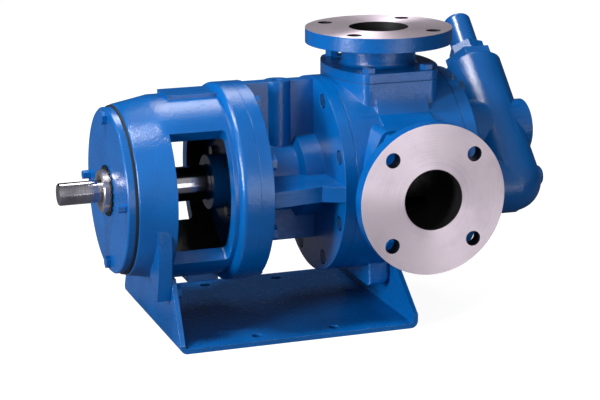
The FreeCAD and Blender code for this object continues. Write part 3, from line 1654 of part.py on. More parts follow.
round_edges(casing_foot, "casing_foot_round", "sizes.foot_round", is_foot_end)
casing_solid = fuse("casing_solid", barrel, *pads, casing_foot)
casing_tools = [
    bar_along_x(
        "casing_chamber",
        "sizes.chamber_bore / 2",
        "stations.casing_front - sizes.overrun",
        "stations.casing_back + sizes.overrun",
    ),
]
for side, turn in (("top", None), ("side", ALONG_Y_BACK)):
    length = "sizes.pad_height + sizes.overrun"
    port = cylinder("casing_%s_bore" % side, "sizes.port_bore / 2", length, "stations.port", turn=turn)
    casing_tools.append(port)
hole_depth = "sizes.screw_reach + sizes.screw_end_gap"
casing_tools += holes_along_x(
    "casing_front_hole",
    head_places,
    screw_hole,
    "stations.casing_front - sizes.overrun",
    "stations.casing_front + " + hole_depth,
)
casing_tools += holes_along_x(
    "casing_back_hole",
    rear_places,
    screw_hole,
    "stations.casing_back - (%s)" % hole_depth,
    "stations.casing_back + sizes.overrun",
)
casing_tools += holes_along_x(
    "casing_foot_hole",
    foot_places,
    "sizes.foot_screw + 2 * sizes.screw_clearance",
    "stations.foot_back - (%s)" % hole_depth,
    "stations.foot_back + sizes.overrun",
)
for index, (x, y) in enumerate(adapter_places):
    level = "sizes.pad_height - (%s)" % hole_depth
    tag = "casing_%s_screw_hole_" + str(index + 1)
    length = hole_depth + " + sizes.overrun"
    along = "stations.port + (%s)" % x
    casing_tools.append(cylinder(tag % "top", adapter_hole, length, along, y, level))
    depth = "-(%s)" % level
    casing_tools.append(cylinder(tag % "side", adapter_hole, length, along, depth, y, ALONG_Y_BACK))
keep(cut("casing_cast", casing_solid, *casing_tools), "pump_casing")


# Gears: rounded cycloid teeth, so that the idler's teeth roll in the rotor's open slots.
def rolled(pitch, roller, radius, outside):
    """Angle and radius of the curve that a roller's point draws off a pitch circle."""
    arm = pitch + roller if outside else pitch - roller
    side = 1 if outside else -1
    cosine = side * (arm * arm + roller * roller - radius * radius) / (2 * arm * roller)
    turn = roller / pitch * math.acos(max(-1.0, min(1.0, cosine)))
    spin = arm / roller * turn
    x = arm * math.cos(turn) - side * roller * math.cos(spin)
    y = arm * math.sin(turn) - roller * math.sin(spin)
    return math.atan2(y, x)


def flank(pitch, half_angle, outer_sign, outer, inner, roller):
    """Points of one flank from its outer to its inner end, as pairs of radius and angle."""
    outside = [outer + (pitch - outer) * step / 4.0 for step in range(5)]
    inside = [pitch + (inner - pitch) * step / 4.0 for step in range(1, 5)]
    points = [(r, half_angle + outer_sign * rolled(pitch, roller, r, True)) for r in outside]
    points += [(r, half_angle - outer_sign * rolled(pitch, roller, r, False)) for r in inside]
    return points


def at(radius, angle, station):
    """A point across the shaft, with the angle counted from +Y towards +Z."""
    return Vector(station, radius * math.cos(angle), radius * math.sin(angle))


def arc(radius, start, end, station):
    """An arc about the shaft's line."""
    places = [at(radius, angle, station) for angle in (start, (start + end) / 2, end)]
    return Part.Arc(*places).toShape()


def flank_arcs(points, station):
    """A flank drawn as two arcs, one on each side of the pitch circle."""
    places = [at(radius, angle, station) for radius, angle in points]
    return [Part.Arc(*places[first:first + 5:2]).toShape() for first in (0, 4)]


def mirrored(points, centre):
    """The other flank of the same tooth, run the other way."""
    return [(radius, 2 * centre - angle) for radius, angle in reversed(points)]


mesh_angle = math.radians(180 - number("sizes.valve_tilt"))
roller = number("sizes.roller_radius")
rotor_pitch = number("stations.rotor_pitch")
idler_pitch = number("stations.idler_pitch")
rotor_tip = number("stations.rotor_tip")
idler_tip = number("stations.idler_tip")
rotor_count = int(number("sizes.rotor_teeth"))
idler_count = int(number("sizes.idler_teeth"))
half_backlash = number("sizes.backlash") / 2
centre_distance = number("stations.centre_distance")
tooth_clearance = number("sizes.tooth_clearance")
gear_back = number("stations.head_inner - sizes.gear_end_gap")
rotor_face = number("stations.rotor_face")
rotor_outside = number("stations.rotor_outside")

prong_front = rotor_face - number("sizes.lap")
prong_half = math.pi / 2 / rotor_count - half_backlash / 2 / rotor_pitch
slot_root = centre_distance + idler_tip + tooth_clearance
prongs = []
for index in range(rotor_count):
    centre = mesh_angle + (index + 0.5) * 2 * math.pi / rotor_count
    side = flank(rotor_pitch, prong_half, 1, slot_root, rotor_tip, roller)
    right = [(radius, centre + angle) for radius, angle in side]
    left = mirrored(right, centre)
    top, bottom = right[0], right[-1]
    edges = [
        Part.makeLine(at(rotor_outside, top[1], prong_front), at(*top, prong_front)),
        *flank_arcs(right, prong_front),
        arc(rotor_tip, bottom[1], 2 * centre - bottom[1], prong_front),
        *flank_arcs(left, prong_front),
        Part.makeLine(
            at(top[0], 2 * centre - top[1], prong_front),
            at(rotor_outside, 2 * centre - top[1], prong_front),
        ),
        arc(rotor_outside, 2 * centre - top[1], top[1], prong_front),
    ]
    section = Part.Face(Part.Wire(Part.__sortEdges__(edges)))
    prongs.append(section.extrude(Vector(gear_back - prong_front, 0, 0)))
rotor_prongs = doc.addObject("Part::Feature", "rotor_prongs")
rotor_prongs.Shape = Part.makeCompound(prongs)
rotor_plate = turned(
    "rotor_plate",
    [
        ("stations.rotor_front", "sizes.rotor_seat_diameter / 2 + sizes.seat_fit"),
        ("stations.rotor_front", "stations.rotor_outside"),
        ("stations.rotor_face", "stations.rotor_outside"),
        ("stations.rotor_face", "sizes.rotor_seat_diameter / 2 + sizes.seat_fit"),
    ],
)
rotor_slot = block(
    "rotor_key_slot",
    ("stations.rotor_front - sizes.overrun", "stations.rotor_face + sizes.overrun"),
    ("-sizes.rotor_key_width / 2 - sizes.seat_fit", "sizes.rotor_key_width / 2 + sizes.seat_fit"),
    ("0", "sizes.rotor_seat_diameter / 2 + sizes.rotor_key_height / 2 + sizes.seat_fit"),
)
keep(cut("rotor_keyed", fuse("rotor_solid", rotor_plate, rotor_prongs), rotor_slot), "rotor")

tooth_half = math.pi / 2 / idler_count - half_backlash / 2 / idler_pitch
idler_root = rotor_tip - centre_distance - tooth_clearance
idler_front = rotor_face + number("sizes.gear_end_gap")
edges = []
for index in range(idler_count):
    centre = mesh_angle + index * 2 * math.pi / idler_count
    side = flank(idler_pitch, tooth_half, -1, idler_tip, idler_root, roller)
    right = [(radius, centre + angle) for radius, angle in side]
    left = mirrored(right, centre)
    next_left = 2 * centre - right[-1][1] + 2 * math.pi / idler_count
    edges.append(arc(idler_tip, 2 * centre - right[0][1], right[0][1], idler_front))
    edges += flank_arcs(right, idler_front)
    edges.append(arc(idler_root, right[-1][1], next_left, idler_front))
    edges += flank_arcs(left, idler_front)
section = Part.Face(Part.Wire(Part.__sortEdges__(edges)))
idler_blank = doc.addObject("Part::Feature", "idler_blank")
idler_blank.Shape = section.extrude(Vector(gear_back - idler_front, 0, 0))
idler_bore = bar_along_x(
    "idler_bore",
    "sizes.idler_bushing_diameter / 2 + sizes.seat_fit",
    "stations.rotor_face",
    "stations.head_front",
)
idler = cut("idler_bored", idler_blank, idler_bore)
keep(idler, "idler_gear", "own")
idler_place = {"y": "stations.idler_across", "z": "sizes.shaft_height + stations.idler_up"}
place(idler, **idler_place)
idler_ends = ("stations.rotor_face + sizes.gear_end_gap", "stations.head_inner - sizes.gear_end_gap")
idler_bush = turned(
    "idler_bush",
    [
        (idler_ends[0], "sizes.idler_pin_diameter / 2 + sizes.running_fit"),
        (idler_ends[0], "sizes.idler_bushing_diameter / 2"),
        (idler_ends[1], "sizes.idler_bushing_diameter / 2"),
        (idler_ends[1], "sizes.idler_pin_diameter / 2 + sizes.running_fit"),
    ],
)
keep(idler_bush, "idler_bushing", "own")
place(idler_bush, **idler_place)
idler_pin = bar_along_x("idler_pin_bar", "sizes.idler_pin_diameter / 2", idler_ends[0], "stations.head_end")
keep(idler_pin, "idler_pin", "own")
place(idler_pin, "stations.rotor_face + sizes.gear_end_gap", idler_place["y"], idler_place["z"], ALONG_X)


def valve_outline(name, start, end):
    """The egg-shaped outline that the head's boss, the valve's gasket and the valve's flange share."""
    lobes = []
    corners = []
    for tag, sign in (("upper", ""), ("lower", "-")):
        size = "sizes.valve_flange_" + tag
        centre = sign + "sizes.valve_port_offset"
        lobes.append(bar_along_x("%s_%s" % (name, tag), size + " / 2", start, end, "0", centre))
        wide = "%s / 2 * stations.flange_spread" % size
        high = "%s - %s / 2 * stations.flange_lean" % (centre, size)
        corners += [(wide, high), ("-" + wide, high)][:: 1 if tag == "upper" else -1]
    middle = padded(name + "_middle", "YZ_Plane", corners, start, end)
    return fuse(name, middle, *lobes)


valve_screw_places = []
for tag in ("upper", "lower"):
    for sign in ("-", ""):
        across = sign + "sizes.valve_screw_%s_wide" % tag
        valve_screw_places.append((across, "-sizes.valve_screw_%s_drop" % tag))
valve_screw_hole = "sizes.valve_screw + 2 * sizes.screw_clearance"


def tilted(name, pieces):
    """Pieces drawn in the relief valve's own upright frame, tilted and moved to its place."""
    bundle = group(name, pieces)
    tilt = Rotation(Vector(1, 0, 0), -number("sizes.valve_tilt"))
    return place(bundle, x="stations.valve", turn=tilt)


# Rear head: flange, spigot, valve boss and the crescent that fills the space between the gears.
head_core = turned(
    "head_core",
    [
        ("stations.head_inner", "0"),
        ("stations.head_inner", "sizes.chamber_bore / 2 - sizes.running_fit"),
        ("stations.head_front", "sizes.chamber_bore / 2 - sizes.running_fit"),
        ("stations.head_front", "sizes.ring_diameter / 2"),
        ("stations.head_back", "sizes.ring_diameter / 2"),
        ("stations.head_back", "0"),
    ],
)
crescent_front = "stations.rotor_face + sizes.gear_end_gap"
crescent_back = "stations.head_inner + sizes.lap"
crescent_radius = "stations.rotor_tip - sizes.crescent_gap"
crescent_round = bar_along_x("crescent_round", crescent_radius, crescent_front, crescent_back)
crescent_hollow = bar_along_x(
    "crescent_hollow",
    "stations.idler_tip + sizes.crescent_gap",
    crescent_front + " - sizes.overrun",
    "stations.head_inner + sizes.overrun",
    "stations.idler_across",
    "stations.idler_up",
)
half = number("sizes.crescent_half_angle")
away = -number("sizes.valve_tilt")
wedge_outline = [("0", "0")]
for angle in (away - half, away, away + half):
    wedge_outline.append(
        ("sizes.chamber_bore * cos(%.9g deg)" % angle, "sizes.chamber_bore * sin(%.9g deg)" % angle)
    )
wedge = padded("crescent_wedge", "YZ_Plane", wedge_outline, crescent_front, crescent_back)
crescent_sector = doc.addObject("Part::Common", "crescent_sector")
crescent_sector.Base = crescent_round
crescent_sector.Tool = wedge
crescent = cut("crescent", crescent_sector, crescent_hollow)
boss_ends = ("stations.head_back - stations.valve - sizes.lap", "stations.head_end - stations.valve")
head_boss = tilted("head_boss", [valve_outline("head_boss_outline", *boss_ends)])
head_solid = fuse("head_solid", head_core, crescent, head_boss)
pin_hole = bar_along_x(
    "head_pin_hole",
    "sizes.idler_pin_diameter / 2 + sizes.seat_fit",
    "stations.head_inner - sizes.overrun",
    "stations.head_end + sizes.overrun",
    "stations.idler_across",
    "stations.idler_up",
)
port_across = "sizes.valve_port_offset * sin(sizes.valve_tilt * 1 deg)"
port_up = "sizes.valve_port_offset * cos(sizes.valve_tilt * 1 deg)"
valve_ports = [(port_across, port_up), ("-" + port_across, "-" + port_up)]
head_tools = [pin_hole]
head_tools += holes_along_x(
    "head_passage",
    valve_ports,
    "sizes.valve_passage",
    "stations.head_inner - sizes.overrun",
    "stations.head_end + sizes.overrun",
)
head_tools += holes_along_x(
    "head_hole",
    rear_places,
    screw_hole,
    "stations.head_front - sizes.overrun",
    "stations.head_back + sizes.overrun",
)
head_valve_holes = holes_along_x(
    "head_valve_hole",
    valve_screw_places,
    valve_screw_hole,
    "stations.head_end - stations.valve - sizes.screw_reach - sizes.screw_end_gap",
    "stations.head_end - stations.valve + sizes.overrun",
)
head_tools.append(tilted("head_valve_holes", head_valve_holes))
keep(cut("head_cast", head_solid, *head_tools), "rear_head")
keep(
    screws_along_x(
        "head_screw",
        rear_places,
        "sizes.head_screw",
        "sizes.rear_screw_head",
        "stations.head_back",
        "sizes.head_flange + sizes.joint_gasket + sizes.screw_reach",
        -1,
    ),
    "head_screws",
)

# Relief valve, drawn upright on its own line and then tilted across the back of the head.
# Height 0 is level with the shaft's line; the two branches run to the head's passages.
body_outline = [
    ("0", "sizes.valve_elbow_rise - sizes.valve_port_offset"),
    ("sizes.valve_body_diameter / 2", "sizes.valve_elbow_rise - sizes.valve_port_offset"),
    ("sizes.valve_body_diameter / 2", "sizes.valve_body_top"),
    ("sizes.valve_shoulder_diameter / 2", "stations.valve_shoulder_top"),
    ("0", "stations.valve_shoulder_top"),
]
valve_barrel = spun("valve_barrel", body_outline)
valve_bottom = doc.addObject("Part::Sphere", "valve_bottom")
bind(valve_bottom, Radius="sizes.valve_body_diameter / 2")
place(valve_bottom, z="sizes.valve_elbow_rise - sizes.valve_port_offset")
branch_roots = []
for name, sign in (("upper", ""), ("lower", "-")):
    root = doc.addObject("Part::Cone", "valve_%s_root" % name)
    bind(
        root,
        Radius1="sizes.valve_%s_root / 2" % name,
        Radius2="sizes.valve_branch_diameter / 2",
        Height="-stations.valve_flange_back",
    )
    branch_height = sign + "sizes.valve_port_offset"
    branch_roots.append(place(root, "stations.valve_flange_back", "0", branch_height, ALONG_X))
branch_radius = "sizes.valve_branch_diameter / 2"
upper_branch = bar_along_x(
    "valve_upper_branch", branch_radius, "0", "sizes.valve_branch_overrun", "0", "sizes.valve_port_offset"
)
plug_end = "sizes.valve_body_diameter / 2 + sizes.end_plug_reach"
plug_height = "sizes.end_plug_rise - sizes.valve_port_offset"
valve_ends = ("stations.valve_flange_front", "stations.valve_flange_back")
valve_solid = fuse(
    "valve_solid",
    valve_barrel,
    valve_bottom,
    *branch_roots,
    upper_branch,
    valve_outline("valve_flange", *valve_ends),
)
elbow_bottom = "(sizes.valve_elbow_rise - sizes.valve_port_offset - sizes.valve_body_diameter / 2)"
chamber_floor = elbow_bottom + " + sizes.valve_wall_bottom"
valve_bore = spun(
    "valve_bore",
    [
        ("0", chamber_floor),
        ("sizes.valve_seat_bore / 2", chamber_floor),
        ("sizes.valve_seat_bore / 2", "sizes.valve_seat_station"),
        ("sizes.valve_bore / 2", "sizes.valve_seat_station"),
        ("sizes.valve_bore / 2", "stations.valve_shoulder_top + sizes.overrun"),
        ("0", "stations.valve_shoulder_top + sizes.overrun"),
    ],
)
passages = [
    bar_along_x(
        "valve_passage_" + name,
        "sizes.valve_passage / 2",
        "stations.valve_flange_front - sizes.overrun",
        "0",
        "0",
        sign + "sizes.valve_port_offset",
    )
    for name, sign in (("upper", ""), ("lower", "-"))
]
plug_hole = bar_along_x(
    "valve_plug_hole",
    "sizes.end_plug_diameter / 2 + sizes.seat_fit",
    "0",
    plug_end,
    "0",
    plug_height,
)
valve_holes = holes_along_x(
    "valve_flange_hole",
    valve_screw_places,
    valve_screw_hole,
    "stations.valve_flange_front - sizes.overrun",
    "stations.valve_flange_back + sizes.overrun",
)
valve_cut = cut("valve_cast", valve_solid, valve_bore, plug_hole, *passages, *valve_holes)
keep(valve_cut, "valve_body", "valve")
gasket_ends = ("stations.valve_flange_front - sizes.joint_gasket", "stations.valve_flange_front")
punch_ends = (gasket_ends[0] + " - sizes.overrun", gasket_ends[1] + " + sizes.overrun")
gasket_tools = holes_along_x("valve_gasket_hole", valve_screw_places, valve_screw_hole, *punch_ends)
gasket_tools += holes_along_x(
    "valve_gasket_passage",
    [("0", "sizes.valve_port_offset"), ("0", "-sizes.valve_port_offset")],
    "sizes.valve_passage",
    *punch_ends,
)
pin_relief = bar_along_x(
    "valve_gasket_pin",
    "sizes.idler_pin_diameter / 2 + sizes.seat_fit",
    *punch_ends,
    "-stations.centre_distance",
)
valve_sheet = valve_outline("valve_gasket_sheet", *gasket_ends)
keep(cut("valve_gasket_punched", valve_sheet, pin_relief, *gasket_tools), "valve_gasket", "valve")
keep(
    screws_along_x(
        "valve_screw",
        valve_screw_places,
        "sizes.valve_screw",
        "sizes.valve_screw_head",
        "stations.valve_flange_back",
        "sizes.valve_flange + sizes.joint_gasket + sizes.screw_reach",
        -1,
    ),
    "valve_screws",
    "valve",
)

# Inside the valve: a hollow poppet on its seat, its spring, the plate and the adjusting screw.
poppet_radius = "(sizes.valve_bore / 2 - sizes.running_fit)"
keep(
    spun(
        "poppet_turned",
        [
            ("0", "stations.poppet_foot"),
            (poppet_radius + " - sizes.poppet_chamfer", "stations.poppet_foot"),
            (poppet_radius, "stations.poppet_foot + sizes.poppet_chamfer"),
            (poppet_radius, "stations.poppet_foot + sizes.poppet_length"),
            (poppet_radius + " - sizes.poppet_wall", "stations.poppet_foot + sizes.poppet_length"),
            (poppet_radius + " - sizes.poppet_wall", "stations.poppet_floor"),
            ("0", "stations.poppet_floor"),
        ],
    ),
    "relief_poppet",
    "valve",
)
wire_radius = number("sizes.spring_wire / 2")
coil_radius = number("sizes.spring_diameter / 2")
coil_foot = number("stations.poppet_floor + sizes.spring_wire / 2 + sizes.seat_fit")
coil_top = number("stations.spring_plate_front - sizes.spring_wire / 2 - sizes.seat_fit")
steps_per_turn = 16
wire_sides = 8
coil_steps = int(round(number("sizes.spring_turns") * steps_per_turn))
rounds = []
for step in range(coil_steps + 1):
    turn = 2 * math.pi * step / steps_per_turn
    height = coil_foot + (coil_top - coil_foot) * step / coil_steps
    ring = []
    for side in range(wire_sides):
        lean = 2 * math.pi * side / wire_sides
        reach = coil_radius + wire_radius * math.cos(lean)
        lift = wire_radius * math.sin(lean)
        ring.append(Vector(reach * math.cos(turn), reach * math.sin(turn), height + lift))
    rounds.append(ring)
facets = [Part.Face(Part.makePolygon(ring + ring[:1])) for ring in (rounds[0], rounds[-1])]
for lower, upper in zip(rounds, rounds[1:]):
    for side in range(wire_sides):
        following = (side + 1) % wire_sides
        a, b, c, d = lower[side], lower[following], upper[following], upper[side]
        facets.append(Part.Face(Part.makePolygon([a, b, c, a])))
        facets.append(Part.Face(Part.makePolygon([a, c, d, a])))
spring = doc.addObject("Part::Feature", "spring_wound")
spring.Shape = Part.makeSolid(Part.makeShell(facets))
keep(spring, "valve_spring", "valve")
pilot_radius = "sizes.spring_diameter / 2 - sizes.spring_wire / 2 - sizes.pilot_gap"
keep(
    spun(
        "spring_plate_turned",
        [
            ("0", "stations.spring_plate_front - sizes.spring_pilot"),
            (pilot_radius + " - sizes.pilot_chamfer", "stations.spring_plate_front - sizes.spring_pilot"),
            (pilot_radius, "stations.spring_plate_front - sizes.spring_pilot + sizes.pilot_chamfer"),
            (pilot_radius, "stations.spring_plate_front"),
            ("sizes.valve_bore / 2 - sizes.spring_plate_gap", "stations.spring_plate_front"),
            ("sizes.valve_bore / 2 - sizes.spring_plate_gap", "stations.spring_plate_back"),
            ("0", "stations.spring_plate_back"),
        ],
    ),
    "spring_plate",
    "valve",
)
screw_top = "stations.lock_nut_top + sizes.adjusting_reach"
keep(
    spun(
        "adjusting_screw_turned",
        [
            ("0", "stations.spring_plate_back"),
            ("sizes.adjusting_screw / 2 - sizes.adjusting_chamfer", "stations.spring_plate_back"),
            ("sizes.adjusting_screw / 2", "stations.spring_plate_back + sizes.adjusting_chamfer"),
            ("sizes.adjusting_screw / 2", screw_top + " - sizes.adjusting_chamfer"),
            ("sizes.adjusting_screw / 2 - sizes.adjusting_chamfer", screw_top),
            ("0", screw_top),
        ],
    ),
    "adjusting_screw",
    "valve",
)

# Bonnet, lock nut, cap and its gasket on top of the valve, and the plug in its lower elbow.
bonnet_solid = fuse(
    "bonnet_solid",
    cylinder(
        "bonnet_nose",
        "sizes.valve_bore / 2 - sizes.seat_fit",
        "stations.valve_shoulder_top - stations.bonnet_foot + sizes.lap",
        z="stations.bonnet_foot",
    ),
    hexagon("bonnet_collar", "sizes.bonnet_hex", "sizes.bonnet_height", z="stations.valve_shoulder_top"),
    cylinder(
        "bonnet_stub",
        "sizes.bonnet_stub_diameter / 2",
        "sizes.bonnet_stub + sizes.lap",
        z="stations.bonnet_top - sizes.lap",
    ),
)
bonnet_bore = cylinder(
    "bonnet_bore",
    "sizes.adjusting_screw / 2 + sizes.seat_fit",
    "stations.stub_top - stations.bonnet_foot + 2 * sizes.overrun",
    z="stations.bonnet_foot - sizes.overrun",
)
keep(cut("bonnet_tapped", bonnet_solid, bonnet_bore), "valve_bonnet", "valve")
lock_hex = hexagon("lock_hex", "sizes.lock_nut_hex", "sizes.lock_nut_height", z="stations.stub_top")
lock_bore = cylinder(
    "lock_bore",
    "sizes.adjusting_screw / 2 + sizes.seat_fit",
    "sizes.lock_nut_height + 2 * sizes.overrun",
    z="stations.stub_top - sizes.overrun",
)
keep(cut("lock_tapped", lock_hex, lock_bore), "adjuster_lock_nut", "valve")
cap_inner = "(sizes.cap_diameter / 2 - sizes.cap_wall)"
keep(
    spun(
        "cap_gasket_turned",
        [
            (cap_inner, "stations.bonnet_top"),
            ("sizes.cap_diameter / 2 + sizes.cap_gasket_lip", "stations.bonnet_top"),
            ("sizes.cap_diameter / 2 + sizes.cap_gasket_lip", "stations.cap_foot"),
            (cap_inner, "stations.cap_foot"),
        ],
    ),
    "cap_gasket",
    "valve",
)
cap_round = spun(
    "cap_round",
    [
        ("0", "stations.cap_hex_top - sizes.lap"),
        ("sizes.cap_diameter / 2", "stations.cap_hex_top - sizes.lap"),
        ("sizes.cap_diameter / 2", "stations.cap_top"),
        ("0", "stations.cap_top"),
    ],
)


def is_cap_top(edge):
    """True for the cap's outer top edge."""
    return edge.BoundBox.ZMin > number("stations.cap_top") - NEAR


round_edges(cap_round, "cap_top_round", "sizes.cap_round", is_cap_top)
cap_turn = Rotation(Vector(0, 0, 1), number("sizes.cap_turn"))
cap_hex = hexagon("cap_hex", "sizes.cap_hex", "sizes.cap_hex_height", z="stations.cap_foot", turn=cap_turn)
cap_hollow = cylinder(
    "cap_hollow",
    cap_inner,
    "stations.cap_top - sizes.cap_end_wall - stations.cap_foot + sizes.overrun",
    z="stations.cap_foot - sizes.overrun",
)
keep(cut("cap_bored", fuse("cap_solid", cap_round, cap_hex), cap_hollow), "valve_cap", "valve")
plug_bar = turned(
    "elbow_plug_turned",
    [
        (plug_end + " - sizes.end_plug_depth", "0"),
        (plug_end + " - sizes.end_plug_depth", "sizes.end_plug_diameter / 2"),
        (plug_end + " - sizes.end_plug_chamfer", "sizes.end_plug_diameter / 2"),
        (plug_end, "sizes.end_plug_diameter / 2 - sizes.end_plug_chamfer"),
        (plug_end, "0"),
    ],
)
place(plug_bar, z=plug_height)
keep(group("elbow_plug_lowered", [plug_bar]), "elbow_plug", "valve")

# Write the kept sub-parts after checking every object.
doc.recompute()
faults = [thing.Name for thing in doc.Objects if "Invalid" in thing.State or "Error" in thing.State]
if faults:
    raise RuntimeError("failed objects: " + ", ".join(faults))
for label, thing in parts.items():
    if thing.Shape.isNull() or not thing.Shape.isValid():
        raise RuntimeError("bad shape: " + label)
os.makedirs("parts", exist_ok=True)
for label, thing in parts.items():
    thing.Shape.exportStep("parts/%s.step" % label)
    print(label, len(thing.Shape.Solids), round(thing.Shape.Volume))
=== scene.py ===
import math

import bmesh
import bpy
from mathutils import Matrix, Vector


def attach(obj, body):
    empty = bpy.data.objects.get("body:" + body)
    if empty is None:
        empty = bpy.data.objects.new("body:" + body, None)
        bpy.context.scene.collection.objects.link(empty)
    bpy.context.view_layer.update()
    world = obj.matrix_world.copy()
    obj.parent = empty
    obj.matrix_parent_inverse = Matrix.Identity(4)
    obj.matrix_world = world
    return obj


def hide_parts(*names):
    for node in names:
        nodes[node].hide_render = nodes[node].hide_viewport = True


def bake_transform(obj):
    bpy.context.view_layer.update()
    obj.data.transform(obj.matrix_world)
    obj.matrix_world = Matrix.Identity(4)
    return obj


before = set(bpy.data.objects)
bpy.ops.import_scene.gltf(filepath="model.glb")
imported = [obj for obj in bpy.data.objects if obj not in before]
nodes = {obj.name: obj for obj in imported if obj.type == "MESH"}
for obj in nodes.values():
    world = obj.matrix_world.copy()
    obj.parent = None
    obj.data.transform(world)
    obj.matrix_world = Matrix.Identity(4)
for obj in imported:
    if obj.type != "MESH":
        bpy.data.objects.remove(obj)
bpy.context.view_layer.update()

# Base: one 6 mm steel plate, bent up at both ends and painted with the pump.
# Rolled sheet under enamel is smoother than a casting, so its gloss is more even.
CLOUD_MM = 55
FLOW_MM = 14
FLOW_DEPTH = 0.0004
ROLLED_SKIN = (9.0, 0.02, 0.24, 0.8)
SHARP_CORNER = math.radians(30)
JOIN_DISTANCE = 0.00001


def linear(hex_code):
    """An sRGB hex colour as Blender's linear one."""
    channels = [int(hex_code[i:i + 2], 16) / 255 for i in (1, 3, 5)]
    bent = [c / 12.92 if c <= 0.04045 else ((c + 0.055) / 1.055) ** 2.4 for c in channels]
    return (*bent, 1.0)


def add(material, kind, settings=None, tones=(), **links):
    """Adds a node with its settings, its ramp's tones and its links to other nodes' outputs.

    Settings may number an input, and links write it as n0, n1 or n2. A tone is a level and a hex.
    """
    node = material.node_tree.nodes.new(kind)
    for name, value in (settings or {}).items():
        if isinstance(name, int) or name in node.inputs:
            node.inputs[name].default_value = value
        else:
            setattr(node, name, value)
    for index, (level, tone) in enumerate(tones):
        node.color_ramp.elements[index].position = level
        node.color_ramp.elements[index].color = linear(tone)
    for name, (source, output) in links.items():
        key = int(name[1:]) if name[0] == "n" and name[1:].isdigit() else name.replace("_", " ")
        material.node_tree.links.new(source.outputs[output], node.inputs[key])
    return node


def new_material(name):
    """An empty material with its output and its object coordinates."""
    material = bpy.data.materials.new(name)
    material.use_nodes = True
    material.node_tree.nodes.clear()
    output = add(material, "ShaderNodeOutputMaterial")
    place = add(material, "ShaderNodeTexCoord")
    return material, output, place


def finish_material(material, output, shader):
    """Sends a shader to the output."""
    material.node_tree.links.new(shader.outputs[0], output.inputs["Surface"])
    return material


def enamel_shader(
    material, place, grain_mm, grain_depth_mm, gloss, edge_mm=1.4, blues=("#004f93", "#0158a0")
):
    """Gloss machinery enamel: two close blues, the metal's grain and softly rounded edges."""
    cloud = add(
        material,
        "ShaderNodeTexNoise",
        {"Scale": 1000 / CLOUD_MM, "Detail": 2.0},
        Vector=(place, "Object"),
    )
    colour = add(
        material,
        "ShaderNodeValToRGB",
        tones=((0.35, blues[0]), (0.68, blues[1])),
        n0=(cloud, "Fac"),
    )
    grain = add(
        material,
        "ShaderNodeTexNoise",
        {"Scale": 1000 / grain_mm, "Detail": 2.5, "Roughness": 0.6},
        Vector=(place, "Object"),
    )
    flow = add(
        material,
        "ShaderNodeTexNoise",
        {"Scale": 1000 / FLOW_MM, "Detail": 1.0},
        Vector=(place, "Object"),
    )
    edge = add(material, "ShaderNodeBevel", {"samples": 6, "Radius": edge_mm / 1000})
    sag = add(
        material,
        "ShaderNodeBump",
        {"Strength": 0.35, "Distance": FLOW_DEPTH},
        Height=(flow, "Fac"),
        Normal=(edge, "Normal"),
    )
    skin = add(
        material,
        "ShaderNodeBump",
        {"Strength": 1.0, "Distance": grain_depth_mm / 1000},
        Height=(grain, "Fac"),
        Normal=(sag, "Normal"),
    )
    sheen = add(
        material,
        "ShaderNodeMapRange",
        {"To Min": gloss - 0.05, "To Max": gloss + 0.09},
        Value=(grain, "Fac"),
    )
    return add(
        material,
        "ShaderNodeBsdfPrincipled",
        {"IOR": 1.5},
        Base_Color=(colour, "Color"),
        Roughness=(sheen, "Result"),
        Normal=(skin, "Normal"),
    )


def enamel(name, *skin):
    """Enamel all over. A skin is the metal's grain and its depth in mm, then the gloss."""
    material, output, place = new_material(name)
    return finish_material(material, output, enamel_shader(material, place, *skin))


def finish_nodes(material, *names):
    """Gives CAD nodes their material, and smooth curves between their sharp corners."""
    for name in names:
        piece = nodes[name]
        for slot in piece.material_slots:
            slot.material = material
        if not piece.material_slots:
            piece.data.materials.append(material)
        piece.data.polygons.foreach_set("use_smooth", [True] * len(piece.data.polygons))
        weld = piece.modifiers.new("joined corners", "WELD")
        weld.merge_threshold = JOIN_DISTANCE
        corner = piece.modifiers.new("sharp corners", "EDGE_SPLIT")
        corner.split_angle = SHARP_CORNER
        corner.use_edge_sharp = False
        shade = piece.modifiers.new("even shading", "WEIGHTED_NORMAL")
        shade.keep_sharp = True


plate_enamel = enamel("gloss enamel on rolled steel", *ROLLED_SKIN)
finish_nodes(plate_enamel, "base_frame", "base_leg_screws", "base_foot_screws")

# Bearing housing: a sand-cast iron drum on two arms, with two legs bolted to the base.
# The sand leaves a pebbled skin that breaks up the paint's highlights; its inside is bare iron,
# drawn near black as painted shade.
# Real pebbles are nearer 1 mm across, and are drawn at 2.1 mm so that they show.
SAND_SKIN = (2.1, 0.45, 0.17)
GRIT_MM = 2.2
PIT_DEPTH = 0.0004
SHAFT_HEIGHT = 0.180
DRUM_BORE_RADIUS = 0.0992
FAR = 9.0
SIDES = {0: ("MULTIPLY", 1.0), 1: ("MINIMUM", FAR), -1: ("MAXIMUM", -FAR)}

cast_enamel = enamel("gloss enamel on sand-cast iron", *SAND_SKIN)


def distance_from_line(material, place, axis, centre, output="Object", side=0):
    """Distance in metres from a line along one axis through a centre.

    With a side of 1 or -1 the line starts at the centre and runs only that way.
    """
    shift = add(
        material, "ShaderNodeVectorMath", {"operation": "SUBTRACT", 1: centre}, n0=(place, output)
    )
    operation, kept = SIDES[side]
    limits = [0.0 if letter == axis else kept for letter in "XYZ"]
    across = add(
        material, "ShaderNodeVectorMath", {"operation": operation, 1: limits}, n0=(shift, "Vector")
    )
    return add(material, "ShaderNodeVectorMath", {"operation": "LENGTH"}, n0=(across, "Vector"))


